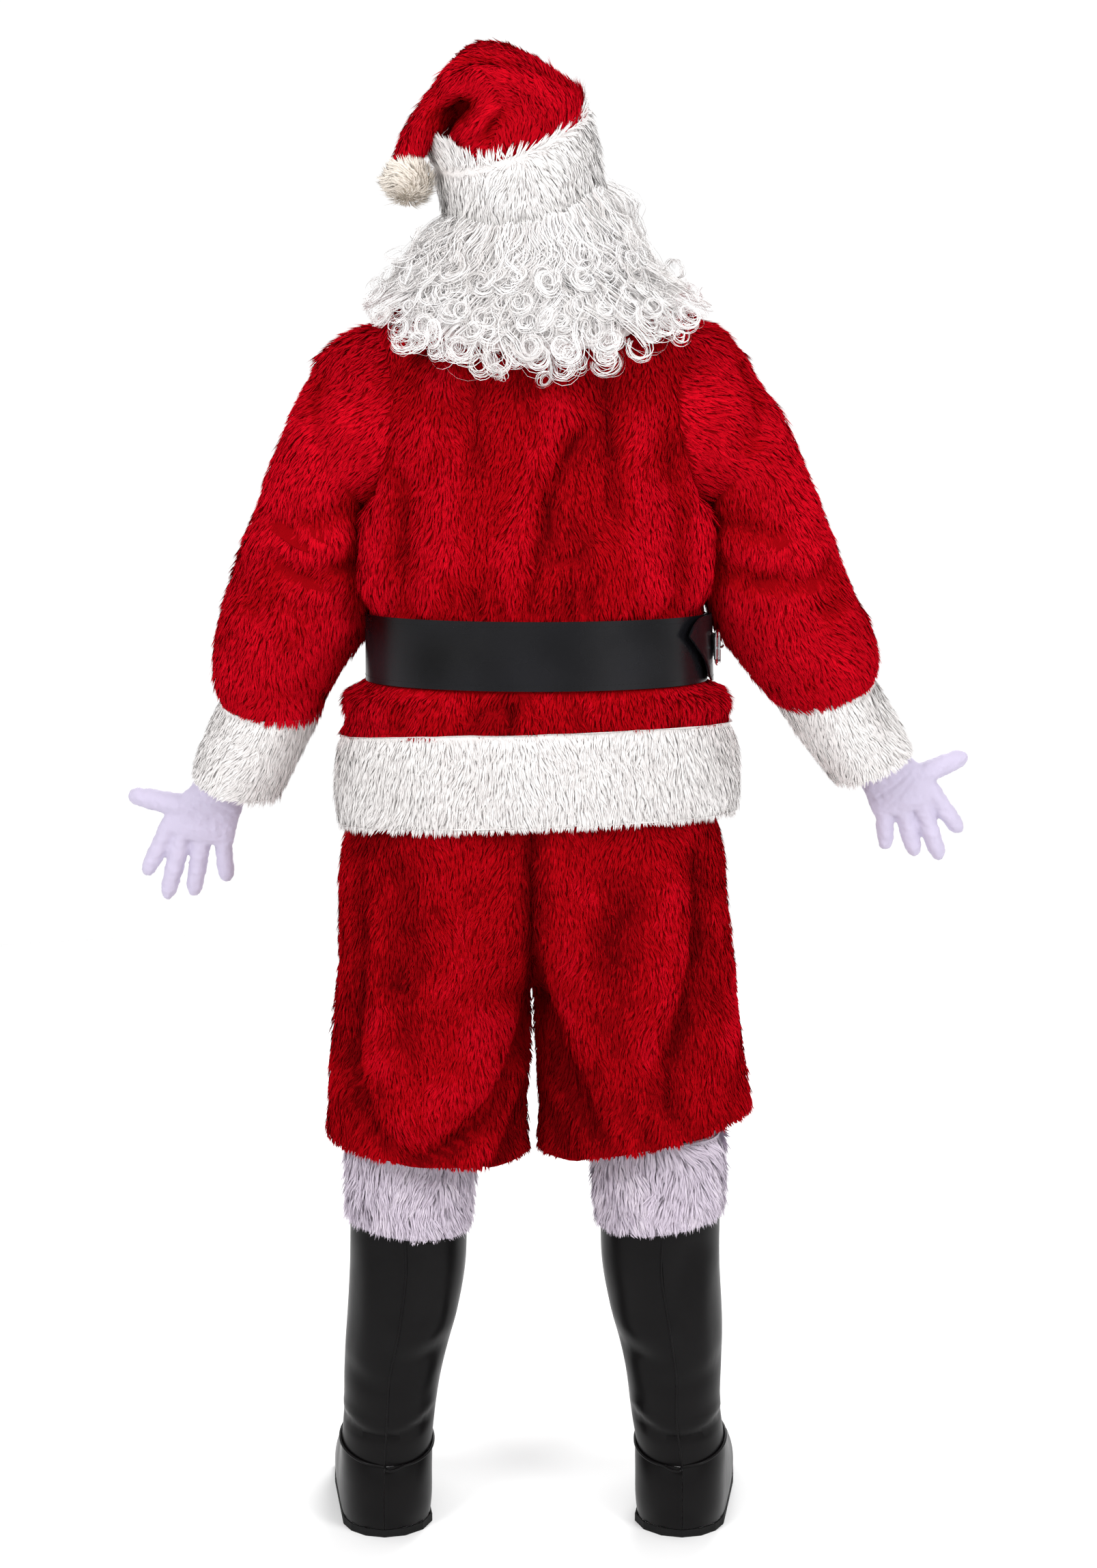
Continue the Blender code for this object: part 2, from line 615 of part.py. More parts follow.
def hung(turn, height):
    """A place on the skirt, lifted where the lower edge hangs higher. The lift fades out at the belt."""
    angle = math.radians(turn)
    rise = HEM_RISE_BACK * max(0.0, math.cos(angle)) + HEM_RISE_RIGHT * math.sin(angle)
    return turn, height + rise * share_of(BELT_BOTTOM - height, BELT_BOTTOM - HEM_BAND_TOP)


def body_coordinates(side, face, heights):
    columns = span(0.0, 1.0, BODY_COLUMNS)
    sign = -1 if side == "left" else 1
    rows = []
    for height in heights:
        reach = edge_turn(height, face)
        start = BACK if face == "back" else FRONT
        direction = sign if face == "back" else -sign
        rows.append([hung(start + direction * reach * c, height) for c in columns])
    return rows


def build_jacket():
    heights = SKIRT_HEIGHTS + armhole_heights() + YOKE_HEIGHTS
    for side in ("left", "right"):
        for face in ("back", "front"):
            panel(f"jacket_{face}_{side}", BODY, body_coordinates(side, face, heights), PLUSH_WALL, PLUSH)
        sign = -1 if side == "left" else 1
        turns = [sign * t for t in span(BACK, FRONT, BAND_COLUMNS)]
        band = [[hung(t, height) for t in turns] for height in span(HEM_BAND_BOTTOM, HEM_BAND_TOP, BAND_ROWS)]
        panel(f"hem_band_{side}", BODY, band, FUR_WALL, WHITE_FUR, FUR_PROUD)


def build_sleeves():
    for side, sections in (("left", SLEEVE_LEFT), ("right", SLEEVE_RIGHT)):
        tube = Sleeve(sections, side)
        turns = ring_turns(2 * ARMHOLE_STEPS, RIGHT)
        sleeve_rows = [[(turn, along) for turn in turns] for along in range(CUFF_START + 2)]
        panel(f"sleeve_{side}", tube, sleeve_rows, PLUSH_WALL, PLUSH, closed=True)
        cuff_rows = [[(turn, along) for turn in turns] for along in range(CUFF_START + 1, len(sections) + 1)]
        panel(f"cuff_{side}", tube, cuff_rows, FUR_WALL, WHITE_FUR, FUR_PROUD, closed=True)


# ---------------------------------------------------------------- belt
BELT_UNDER_END = 150.0  # turn where the strap starts, under its own end
BELT_TIP = -296.0  # turn where its rounded end stops, past a whole lap
TIP_ROUNDING = 9.0  # degrees of the rounded end
TIP_SHEAR = 7.0  # degrees that the end leans, its top reaching further
TIP_SHEAR_START, TIP_SHEAR_SPAN = -255.0, 40.0
TIP_NARROWING = 0.80
TIP_STEPS = [5.5, 2.2, 0.0]  # degrees before the tip
BELT_STEPS = 32
OVERLAP_START, OVERLAP_SPAN = 12.0, 24.0  # degrees over which the strap climbs onto its own start
OVERLAP_GAP = 0.0012
FREE_START, FREE_SPAN, FREE_LIFT = -250.0, 46.0, 0.005  # the free end stands off a little more


def on_belt(turn, height, lift):
    """A point that stands off the jacket where the belt draws it in."""
    point = BODY.point(turn, BELT_TOP)
    beyond, before = BODY.point(turn + 0.5, BELT_TOP), BODY.point(turn - 0.5, BELT_TOP)
    outward = (beyond - before).cross(Vector((0, 0, 1))).normalized()
    return Vector((point.x, point.y, height)) + outward * lift


def belt_layer(turn):
    """How far the strap's inner face stands off the jacket: one layer more once it passes its own start."""
    over = share_of(BELT_UNDER_END - 360 + OVERLAP_START - turn, OVERLAP_SPAN)
    lifted = share_of(FREE_START - turn, FREE_SPAN)
    return BELT_CLEARANCE + over * (BELT_WALL + OVERLAP_GAP) + lifted * FREE_LIFT


def build_belt():
    turns = span(BELT_UNDER_END, BELT_TIP + TIP_ROUNDING, BELT_STEPS) + [BELT_TIP + t for t in TIP_STEPS]
    middle = (BELT_BOTTOM + BELT_TOP) / 2
    outer, inner = [], []
    for level in (-1.0, 0.0, 1.0):
        outer_row, inner_row = [], []
        for turn in turns:
            rounded = max(0.0, 1 - (turn - BELT_TIP) / TIP_ROUNDING)
            half = (BELT_TOP - BELT_BOTTOM) / 2 * math.sqrt(1 - TIP_NARROWING * rounded**2)
            lean = TIP_SHEAR * level * share_of(TIP_SHEAR_START - turn, TIP_SHEAR_SPAN)
            height = middle + level * half
            layer = belt_layer(turn)
            outer_row.append(on_belt(turn - lean, height, layer + BELT_WALL))
            inner_row.append(on_belt(turn - lean, height, layer))
        outer.append(outer_row)
        inner.append(inner_row)
    wall_from_grids("belt_strap", outer, inner, BLACK_VINYL)


BUCKLE_TURN = 77.0  # where the buckle's near bar stands on the strap's end
BUCKLE_HEIGHT = 0.040
BUCKLE_LENGTH = 0.034
BUCKLE_WIRE = 0.0019
BUCKLE_CORNER = 0.007
BUCKLE_LIFT = 0.0185  # off the jacket, over the strap's end
PRONG_SHARES = (-0.03, 0.5, 1.05)  # of the buckle's length
PRONG_WIRE = 0.9 * BUCKLE_WIRE
FASTENING_START, FASTENING_END, FASTENING_STEPS = BUCKLE_TURN + 2, BUCKLE_TURN + 44, 8
FASTENING_WALL = 0.002
FASTENING_HALF = 0.0146
FASTENING_GAP = 0.0008  # over the strap's end


def wire(name, points, radius, closed, surface_material):
    """A round wire through points, as a mesh."""
    curve = bpy.data.curves.new(name, "CURVE")
    curve.dimensions = "3D"
    curve.bevel_depth, curve.bevel_resolution, curve.use_fill_caps = radius, 1, True
    spline = curve.splines.new("POLY")
    spline.points.add(len(points) - 1)
    for target, point in zip(spline.points, points):
        target.co = (*point, 1.0)
    spline.use_cyclic_u = closed
    draft = bpy.data.objects.new(name + "_draft", curve)
    SUIT.objects.link(draft)
    bpy.context.view_layer.update()
    mesh = bpy.data.meshes.new_from_object(draft.evaluated_get(bpy.context.evaluated_depsgraph_get()))
    bpy.data.objects.remove(draft)
    work = bmesh.new()
    work.from_mesh(mesh)
    bmesh.ops.remove_doubles(work, verts=work.verts, dist=1e-5)
    bmesh.ops.recalc_face_normals(work, faces=work.faces)
    work.to_mesh(mesh)
    work.free()
    mesh.materials.clear()
    return new_object(name, mesh, surface_material)


def build_buckle():
    girth = BODY.girth(BELT_TOP)
    middle = (BELT_BOTTOM + BELT_TOP) / 2
    degrees_per_metre = math.degrees(1 / ((girth.back + girth.front) / 2))
    length = BUCKLE_LENGTH * degrees_per_metre
    corner, half = BUCKLE_CORNER, BUCKLE_HEIGHT / 2
    loop = []
    for centre_along, centre_rise, first in ((1, 1, 0), (0, 1, 90), (0, -1, 180), (1, -1, 270)):
        for degrees in (first, first + 45, first + 90):
            angle = math.radians(degrees)
            along = (corner if not centre_along else BUCKLE_LENGTH - corner) + corner * math.cos(angle)
            rise = centre_rise * (half - corner) + corner * math.sin(angle)
            loop.append(on_belt(BUCKLE_TURN + along * degrees_per_metre, middle + rise, BUCKLE_LIFT))
    wire("buckle_frame", loop, BUCKLE_WIRE, True, CHROME)
    prong_lift = BUCKLE_LIFT + 2 * BUCKLE_WIRE + SEAM
    prong = [on_belt(BUCKLE_TURN + length * share, middle, prong_lift) for share in PRONG_SHARES]
    wire("buckle_prong", prong, PRONG_WIRE, False, CHROME)
    # The narrow fastening strap, sewn on the front and passed under the buckle's frame.
    turns = span(FASTENING_START, FASTENING_END, FASTENING_STEPS)
    lifts = [belt_layer(turn - 360) + BELT_WALL + FASTENING_GAP for turn in turns]
    outer, inner = [], []
    for level in (-1, 0, 1):
        height = middle + level * FASTENING_HALF
        outer.append([on_belt(t, height, lift + FASTENING_WALL) for t, lift in zip(turns, lifts)])
        inner.append([on_belt(t, height, lift) for t, lift in zip(turns, lifts)])
    wall_from_grids("belt_fastening_strap", outer, inner, BLACK_VINYL)


# ---------------------------------------------------------------- breeches
def build_breeches():
    for side in ("left", "right"):
        for face, sign in (("back", -1), ("front", 1)):
            half = LegHalf(side, sign)
            rows = []
            for along in range(len(BREECHES[side])):
                rows.append([(turn, along) for turn in span(0.0, half.end_turn(along), LEG_COLUMNS)])
            panel(f"breeches_{face}_{side}", half, rows, PLUSH_WALL, PLUSH)


# ---------------------------------------------------------------- boot tops
def build_boots():
    for side in ("left", "right"):
        shaft = Tube(BOOT_SHAFT[side])
        last = len(BOOT_SHAFT[side]) - 1
        collar = [[(turn, along) for turn in ring_turns(2 * BOOT_COLUMNS)] for along in range(BOOT_FUR_END + 1)]
        panel(f"boot_fur_{side}", shaft, collar, FUR_WALL, COOL_FUR, FUR_PROUD, closed=True)
        foot = Foot(side)
        places = ("inner", "outer") if side == "left" else ("outer", "inner")
        for place, first in zip(places, (BACK, FRONT)):
            turns = span(first, first + 180, BOOT_COLUMNS)
            rows = [[(turn, along) for turn in turns] for along in range(BOOT_FUR_END, last + 1)]
            panel(f"boot_shaft_{place}_{side}", shaft, rows, VINYL_WALL, BLACK_VINYL)
            rows = [[(turn, along) for turn in turns] for along in range(len(FOOT) + 1)]
            panel(f"boot_foot_{place}_{side}", foot, rows, VINYL_WALL, BLACK_VINYL)
        outer, inner = [], []
        for drop in (SEAM, SOLE_BAND_HEIGHT):
            ring = [foot.point(turn, len(FOOT)) for turn in ring_turns(2 * BOOT_COLUMNS)]
            middle = foot.middle(len(FOOT))
            level = [Vector((p.x, p.y, FOOT[-1].back_z - drop)) for p in ring]
            inset = [Vector((p.x - middle.x, p.y - middle.y, 0)).normalized() for p in level]
            outer.append(level)
            inner.append([p - d * SOLE_BAND_WALL for p, d in zip(level, inset)])
        wall_from_grids(f"boot_sole_band_{side}", outer, inner, ELASTIC, closed=True)


# ---------------------------------------------------------------- hat and wig
def build_hat():
    band = Tube(HAT_BAND)
    rows = [[(turn, along) for turn in ring_turns(HAT_BAND_COLUMNS)] for along in range(len(HAT_BAND))]
    panel("hat_band", band, rows, FUR_WALL, WHITE_FUR, closed=True)
    crown = Tube(HAT_CROWN)
    for face, first in (("back", -RIGHT), ("front", RIGHT)):
        turns = span(first, first + 180, CROWN_COLUMNS)
        rows = [[(turn, along) for turn in turns] for along in range(len(HAT_CROWN))]
        panel(f"hat_crown_{face}", crown, rows, HAT_WALL, PLUSH)
    mesh = bpy.data.meshes.new("hat_bobble")
    work = bmesh.new()
    bmesh.ops.create_icosphere(work, subdivisions=2, radius=BOBBLE_RADIUS)
    bmesh.ops.translate(work, verts=work.verts, vec=BOBBLE_CENTRE)
    work.to_mesh(mesh)
    work.free()
    new_object("hat_bobble", mesh, CREAM_FUR)


def build_wig():
    hair = Hair()
    for name, first, end, steps in (
        ("left", 360 - HAIR_REACH, 360 - HAIR_SPLIT, HAIR_SIDE_STEPS),
        ("back", -HAIR_SPLIT, HAIR_SPLIT, HAIR_BACK_STEPS),
        ("right", HAIR_SPLIT, HAIR_REACH, HAIR_SIDE_STEPS),
    ):
        rows = [[(turn, row.drop) for turn in span(first, end, steps)] for row in HAIR]
        panel(f"wig_hair_{name}", hair, rows, lambda drop: hair.row(drop).wall, WHITE_HAIR)
    cap = Tube(CAP)
    rows = [[(turn, along) for turn in ring_turns(CAP_COLUMNS)] for along in range(len(CAP))]
    panel("wig_cap", cap, rows, WIG_CAP_WALL, CAP_NET, closed=True)


# ---------------------------------------------------------------- gloves
def tube_mesh(rings):
    """A closed tube mesh through rings of points, its ends filled."""
    work = bmesh.new()
    loops = [[work.verts.new(p) for p in ring] for ring in rings]
    for near, far in zip(loops, loops[1:]):
        for j in range(len(near)):
            k = (j + 1) % len(near)
            work.faces.new((near[j], near[k], far[k], far[j]))
    work.faces.new(loops[0])
    work.faces.new(loops[-1])
    bmesh.ops.recalc_face_normals(work, faces=work.faces)
    mesh = bpy.data.meshes.new("tube")
    work.to_mesh(mesh)
    work.free()
    return mesh


def oval_ring(section, inset):
    tube = Tube([section, section], inset)
    return [tube.point(turn, 0) for turn in ring_turns(PALM_SIDES)]


def digit_rings(digit, base_y, inset, sink):
    """Rings from inside the palm to the rounded tip of a digit."""
    root = Vector((digit.root_x, base_y, digit.root_z))
    tip = Vector((digit.tip_x, base_y + digit.forward, digit.tip_z))
    axis = (tip - root).normalized()
    side = axis.cross(Vector((0, 1, 0))).normalized()
    depth = side.cross(axis)
    tip = tip - axis * inset
    length = (tip - root).length
    rings = []
    angles = [math.radians(turn) for turn in ring_turns(DIGIT_SIDES)]
    for share, swell in [(-sink / length, SUNK_RADIUS), *DIGIT_RINGS]:
        radius = digit.root_radius + (digit.tip_radius - digit.root_radius) * max(0.0, share)
        radius = (radius - inset) * swell
        centre = root + axis * (length * share)
        across = [side * math.cos(a) + depth * (math.sin(a) * DIGIT_FLATNESS) for a in angles]
        rings.append([centre + direction * radius for direction in across])
    return rings


def helper(name, mesh):
    obj = bpy.data.objects.new(name, mesh)
    CUTTERS.objects.link(obj)
    obj.parent = DATUM
    obj.hide_render = True
    obj.display_type = "WIRE"
    return obj


def hand_form(side, inset, extend):
    """The palm and four fingers as one body: the outer form at inset 0, the hollow at the wall's inset."""
    glove = GLOVES[side]
    palm = glove["palm"]
    rings = [oval_ring(section, inset) for section in (glove["wrist"], *palm)]
    if extend:
        up = (rings[0][0] - rings[1][0]).normalized() * extend
        rings.insert(0, [p + up for p in rings[0]])
    down = (rings[-1][0] - rings[-2][0]).normalized()
    rings.append([p + down * (PALM_END - inset) for p in oval_ring(palm[-1], inset + PALM_END_INSET)])
    form = helper(f"glove_{side}_form_{'hollow' if inset else 'skin'}", tube_mesh(rings))
    for digit in glove["fingers"]:
        rings = digit_rings(digit, FINGER_Y, inset, FINGER_SINK)
        finger = helper(f"{form.name}_{digit.name}", tube_mesh(rings))
        union = form.modifiers.new(digit.name, "BOOLEAN")
        union.operation, union.solver, union.object = "UNION", "MANIFOLD", finger
    return form


def thumb_form(side, name, inset, sink):
    rings = digit_rings(GLOVES[side]["thumb"], THUMB_Y, inset, sink)
    return helper(f"glove_{side}_thumb_{name}", tube_mesh(rings))


def evaluated_mesh(obj):
    bpy.context.view_layer.update()
    return bpy.data.meshes.new_from_object(obj.evaluated_get(bpy.context.evaluated_depsgraph_get()))


def build_gloves():
    for side in ("left", "right"):
        skin = hand_form(side, 0.0, 0.0)
        hollow = hand_form(side, GLOVE_WALL, WRIST_EXTENSION)
        thumb_skin = thumb_form(side, "skin", 0.0, THUMB_SINK)
        thumb_hollow = thumb_form(side, "hollow", GLOVE_WALL, THUMB_HOLLOW_SINK)
        thumb_gap = thumb_form(side, "gap", -SEAM, THUMB_SINK)
        hand = new_object(f"glove_{side}_hand", evaluated_mesh(skin), GLOVE)
        for name, cutter in (("hollow", hollow), ("thumb_gap", thumb_gap)):
            cut = hand.modifiers.new(name, "BOOLEAN")
            cut.operation, cut.solver, cut.object = "DIFFERENCE", "MANIFOLD", cutter
        thumb_object = new_object(f"glove_{side}_thumb", evaluated_mesh(thumb_skin), GLOVE)
        for name, cutter in (("hollow", thumb_hollow), ("palm", hollow)):
            cut = thumb_object.modifiers.new(name, "BOOLEAN")
            cut.operation, cut.solver, cut.object = "DIFFERENCE", "MANIFOLD", cutter


# ---------------------------------------------------------------- the suit
clear_scene()
SUIT = collection("santa_suit")
CUTTERS = collection("cutters")
DATUM = bpy.data.objects.new("ground_datum", None)
DATUM.location = (0, 0, -HOLD_HEIGHT)
SUIT.objects.link(DATUM)

PLUSH = material("red_plush", (0.52, 0.006, 0.018), 0.75)
WHITE_FUR = material("white_fur", (0.86, 0.83, 0.79), 0.85)
COOL_FUR = material("cool_white_fur", (0.80, 0.80, 0.86), 0.85)
CREAM_FUR = material("cream_fur", (0.86, 0.82, 0.72), 0.85)
WHITE_HAIR = material("white_hair", (0.88, 0.87, 0.85), 0.45)
CAP_NET = material("wig_net", (0.70, 0.68, 0.64), 0.9)
BLACK_VINYL = material("black_vinyl", (0.012, 0.012, 0.014), 0.38)
ELASTIC = material("black_elastic", (0.006, 0.006, 0.006), 0.9)
CHROME = material("chrome", (0.80, 0.80, 0.82), 0.12, 1.0)
GLOVE = material("white_glove", (0.82, 0.78, 0.88), 0.8)

build_jacket()
build_sleeves()
build_belt()
build_buckle()
build_breeches()
build_boots()
build_hat()
build_wig()
build_gloves()
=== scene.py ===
"""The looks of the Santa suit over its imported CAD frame: plush, fur, curled hair, vinyl, chrome and cloth.

Metres in the frame's axes: +Z up, +Y the way the wearer faces, so +X is the wearer's right. The tables give
heights above the ground that the wearer stands on, which is GROUND in the frame.
"""

import math
from collections import namedtuple

import bmesh
import bpy
import numpy as np
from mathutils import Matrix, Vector
from mathutils.bvhtree import BVHTree
from mathutils.kdtree import KDTree


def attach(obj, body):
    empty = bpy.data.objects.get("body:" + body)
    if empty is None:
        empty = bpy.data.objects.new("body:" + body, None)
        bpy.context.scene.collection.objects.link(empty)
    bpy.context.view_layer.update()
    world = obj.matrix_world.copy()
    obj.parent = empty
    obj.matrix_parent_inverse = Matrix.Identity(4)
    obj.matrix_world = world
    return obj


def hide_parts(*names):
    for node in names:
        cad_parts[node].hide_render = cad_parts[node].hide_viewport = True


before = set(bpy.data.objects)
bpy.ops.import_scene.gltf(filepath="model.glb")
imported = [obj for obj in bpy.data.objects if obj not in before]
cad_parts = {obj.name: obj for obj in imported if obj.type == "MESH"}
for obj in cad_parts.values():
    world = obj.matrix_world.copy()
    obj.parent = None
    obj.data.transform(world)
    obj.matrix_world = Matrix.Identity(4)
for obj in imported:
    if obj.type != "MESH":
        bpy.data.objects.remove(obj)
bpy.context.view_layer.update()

GROUND = -1.5
UP = np.array([0.0, 0.0, 1.0])
LEVEL = np.array([1.0, 1.0, 0.0])  # takes the height out of a direction

# ---------------------------------------------------------------- folds, listed
# A fold is a soft ridge (height over 0) or trough (under 0) along a bend through three points, given as
# seen from behind: x, and height above the ground. width is its half width.
Fold = namedtuple("Fold", "x1 z1 x2 z2 x3 z3 width height")
JACKET_BACK = [
    Fold(-0.206, 1.400, -0.160, 1.300, -0.163, 1.166, 0.013, -0.009),
    Fold(-0.190, 1.330, -0.190, 1.250, -0.188, 1.180, 0.018, 0.006),
    Fold(-0.120, 1.330, -0.118, 1.250, -0.125, 1.180, 0.024, 0.004),
    Fold(0.045, 1.440, 0.005, 1.310, -0.026, 1.200, 0.024, 0.008),
    Fold(0.052, 1.380, 0.014, 1.300, -0.006, 1.164, 0.012, -0.013),
    Fold(0.155, 1.390, 0.172, 1.290, 0.168, 1.166, 0.013, -0.009),
    Fold(0.120, 1.400, 0.134, 1.290, 0.130, 1.180, 0.022, 0.004),
    Fold(0.192, 1.360, 0.196, 1.270, 0.192, 1.180, 0.015, 0.006),
    Fold(0.070, 1.480, 0.096, 1.400, 0.092, 1.300, 0.016, -0.005),
    Fold(-0.070, 1.500, -0.080, 1.410, -0.060, 1.320, 0.020, -0.005),
    Fold(-0.140, 1.490, -0.165, 1.420, -0.172, 1.370, 0.014, -0.006),
    Fold(0.140, 1.490, 0.168, 1.430, 0.176, 1.370, 0.014, -0.005),
    Fold(0.008, 1.238, 0.034, 1.234, 0.060, 1.240, 0.007, -0.004),
    Fold(-0.111, 1.160, -0.109, 1.185, -0.104, 1.214, 0.008, -0.006),
    Fold(-0.066, 1.160, -0.068, 1.182, -0.060, 1.208, 0.008, -0.005),
    Fold(-0.036, 1.160, -0.040, 1.178, -0.036, 1.196, 0.007, -0.005),
    Fold(0.040, 1.160, 0.046, 1.180, 0.044, 1.204, 0.008, -0.005),
    Fold(0.071, 1.160, 0.069, 1.186, 0.078, 1.216, 0.009, -0.006),
    Fold(0.121, 1.160, 0.124, 1.185, 0.119, 1.212, 0.008, -0.006),
    Fold(-0.030, 1.074, -0.034, 1.045, -0.040, 1.004, 0.010, -0.011),
    Fold(-0.052, 1.068, -0.075, 1.045, -0.110, 1.012, 0.011, -0.006),
    Fold(-0.150, 1.070, -0.165, 1.045, -0.185, 1.020, 0.012, -0.005),
    Fold(0.040, 1.070, 0.062, 1.045, 0.090, 1.018, 0.013, -0.005),
    Fold(0.150, 1.070, 0.166, 1.045, 0.172, 1.016, 0.012, -0.006),
]
JACKET_FRONT = [
    Fold(-0.190, 1.390, -0.150, 1.290, -0.155, 1.166, 0.014, -0.009),
    Fold(-0.100, 1.420, -0.070, 1.290, -0.090, 1.180, 0.020, -0.007),
    Fold(-0.045, 1.420, -0.030, 1.300, -0.040, 1.180, 0.022, 0.005),
    Fold(0.000, 1.500, 0.002, 1.300, 0.000, 1.162, 0.008, -0.008),
    Fold(0.060, 1.430, 0.075, 1.300, 0.062, 1.180, 0.022, 0.006),
    Fold(0.110, 1.410, 0.104, 1.290, 0.118, 1.170, 0.016, -0.008),
    Fold(0.185, 1.380, 0.160, 1.280, 0.165, 1.168, 0.014, -0.009),
    Fold(-0.120, 1.160, -0.116, 1.185, -0.124, 1.215, 0.008, -0.006),
    Fold(-0.055, 1.160, -0.052, 1.180, -0.058, 1.206, 0.008, -0.005),
    Fold(0.035, 1.160, 0.030, 1.182, 0.038, 1.210, 0.008, -0.006),
    Fold(0.090, 1.160, 0.094, 1.184, 0.086, 1.214, 0.008, -0.005),
    Fold(0.000, 1.074, 0.001, 1.040, 0.002, 1.000, 0.008, -0.009),
    Fold(-0.100, 1.070, -0.122, 1.045, -0.130, 1.018, 0.012, -0.006),
    Fold(0.090, 1.070, 0.112, 1.045, 0.125, 1.018, 0.012, -0.006),
]
BREECHES_BACK = [
    Fold(-0.003, 0.905, -0.003, 0.800, 0.001, 0.690, 0.011, -0.015),
    Fold(-0.216, 0.880, -0.214, 0.740, -0.232, 0.600, 0.012, -0.008),
    Fold(-0.232, 0.640, -0.214, 0.575, -0.180, 0.520, 0.013, -0.010),
    Fold(-0.150, 0.860, -0.165, 0.740, -0.150, 0.640, 0.020, -0.005),
    Fold(-0.188, 0.840, -0.194, 0.740, -0.190, 0.620, 0.016, 0.006),
    Fold(-0.090, 0.850, -0.095, 0.760, -0.075, 0.660, 0.026, 0.005),
    Fold(-0.014, 0.668, -0.060, 0.560, -0.150, 0.502, 0.014, -0.015),
    Fold(-0.040, 0.670, -0.085, 0.590, -0.165, 0.545, 0.026, 0.010),
    Fold(-0.006, 0.572, -0.030, 0.520, -0.052, 0.478, 0.012, -0.010),
    Fold(0.196, 0.880, 0.190, 0.730, 0.160, 0.630, 0.015, -0.013),
    Fold(0.160, 0.630, 0.162, 0.580, 0.180, 0.540, 0.015, -0.009),
    Fold(0.166, 0.820, 0.158, 0.720, 0.130, 0.630, 0.018, 0.007),
    Fold(0.226, 0.800, 0.236, 0.700, 0.232, 0.600, 0.014, 0.006),
    Fold(0.110, 0.850, 0.105, 0.760, 0.080, 0.680, 0.022, -0.004),
    Fold(0.060, 0.830, 0.052, 0.730, 0.060, 0.640, 0.024, 0.006),
    Fold(0.018, 0.672, 0.040, 0.580, 0.098, 0.516, 0.016, -0.011),
    Fold(0.110, 0.600, 0.120, 0.560, 0.150, 0.510, 0.014, -0.006),
    Fold(0.020, 0.560, 0.030, 0.520, 0.040, 0.480, 0.012, -0.007),
]
BREECHES_FRONT = [
    Fold(-0.004, 0.905, -0.004, 0.800, -0.003, 0.690, 0.010, -0.012),
    Fold(-0.190, 0.870, -0.180, 0.730, -0.195, 0.600, 0.015, -0.010),
    Fold(-0.110, 0.850, -0.120, 0.720, -0.100, 0.600, 0.022, 0.007),
    Fold(-0.014, 0.680, -0.070, 0.590, -0.160, 0.530, 0.015, -0.012),
    Fold(-0.015, 0.600, -0.050, 0.540, -0.110, 0.500, 0.013, -0.009),
    Fold(0.185, 0.870, 0.196, 0.740, 0.180, 0.610, 0.015, -0.011),
    Fold(0.100, 0.850, 0.090, 0.720, 0.110, 0.610, 0.022, 0.007),
    Fold(0.014, 0.675, 0.060, 0.600, 0.150, 0.540, 0.015, -0.012),
    Fold(0.020, 0.590, 0.060, 0.540, 0.120, 0.500, 0.013, -0.008),
]
SLEEVES_BACK = [
    Fold(-0.255, 1.470, -0.262, 1.420, -0.240, 1.360, 0.014, -0.006),
    Fold(-0.300, 1.440, -0.310, 1.350, -0.330, 1.260, 0.020, 0.005),
    Fold(-0.232, 1.300, -0.275, 1.275, -0.320, 1.280, 0.013, -0.008),
    Fold(-0.226, 1.230, -0.270, 1.215, -0.330, 1.235, 0.013, -0.009),
    Fold(-0.250, 1.250, -0.290, 1.240, -0.340, 1.256, 0.014, 0.006),
    Fold(-0.360, 1.200, -0.320, 1.165, -0.260, 1.160, 0.013, -0.008),
    Fold(-0.380, 1.140, -0.330, 1.115, -0.270, 1.110, 0.014, -0.009),
    Fold(-0.340, 1.090, -0.300, 1.080, -0.262, 1.066, 0.011, -0.007),
    Fold(0.255, 1.470, 0.262, 1.420, 0.240, 1.360, 0.014, -0.006),
    Fold(0.300, 1.440, 0.312, 1.350, 0.334, 1.260, 0.020, 0.005),
    Fold(0.232, 1.290, 0.275, 1.262, 0.325, 1.274, 0.013, -0.008),
    Fold(0.230, 1.225, 0.285, 1.205, 0.345, 1.226, 0.013, -0.009),
    Fold(0.250, 1.245, 0.290, 1.232, 0.340, 1.250, 0.014, 0.006),
    Fold(0.250, 1.150, 0.310, 1.150, 0.370, 1.190, 0.013, -0.008),
    Fold(0.270, 1.105, 0.330, 1.110, 0.390, 1.150, 0.014, -0.009),
    Fold(0.290, 1.075, 0.340, 1.085, 0.380, 1.110, 0.011, -0.007),
]
SLEEVES_FRONT = [
    Fold(-0.340, 1.300, -0.290, 1.260, -0.240, 1.250, 0.014, -0.009),
    Fold(-0.370, 1.220, -0.310, 1.180, -0.240, 1.180, 0.015, -0.010),
    Fold(-0.390, 1.150, -0.330, 1.125, -0.260, 1.120, 0.014, -0.009),
    Fold(0.340, 1.300, 0.290, 1.258, 0.240, 1.245, 0.014, -0.009),
    Fold(0.375, 1.220, 0.310, 1.176, 0.245, 1.172, 0.015, -0.010),
    Fold(0.400, 1.150, 0.340, 1.120, 0.270, 1.112, 0.014, -0.009),
]
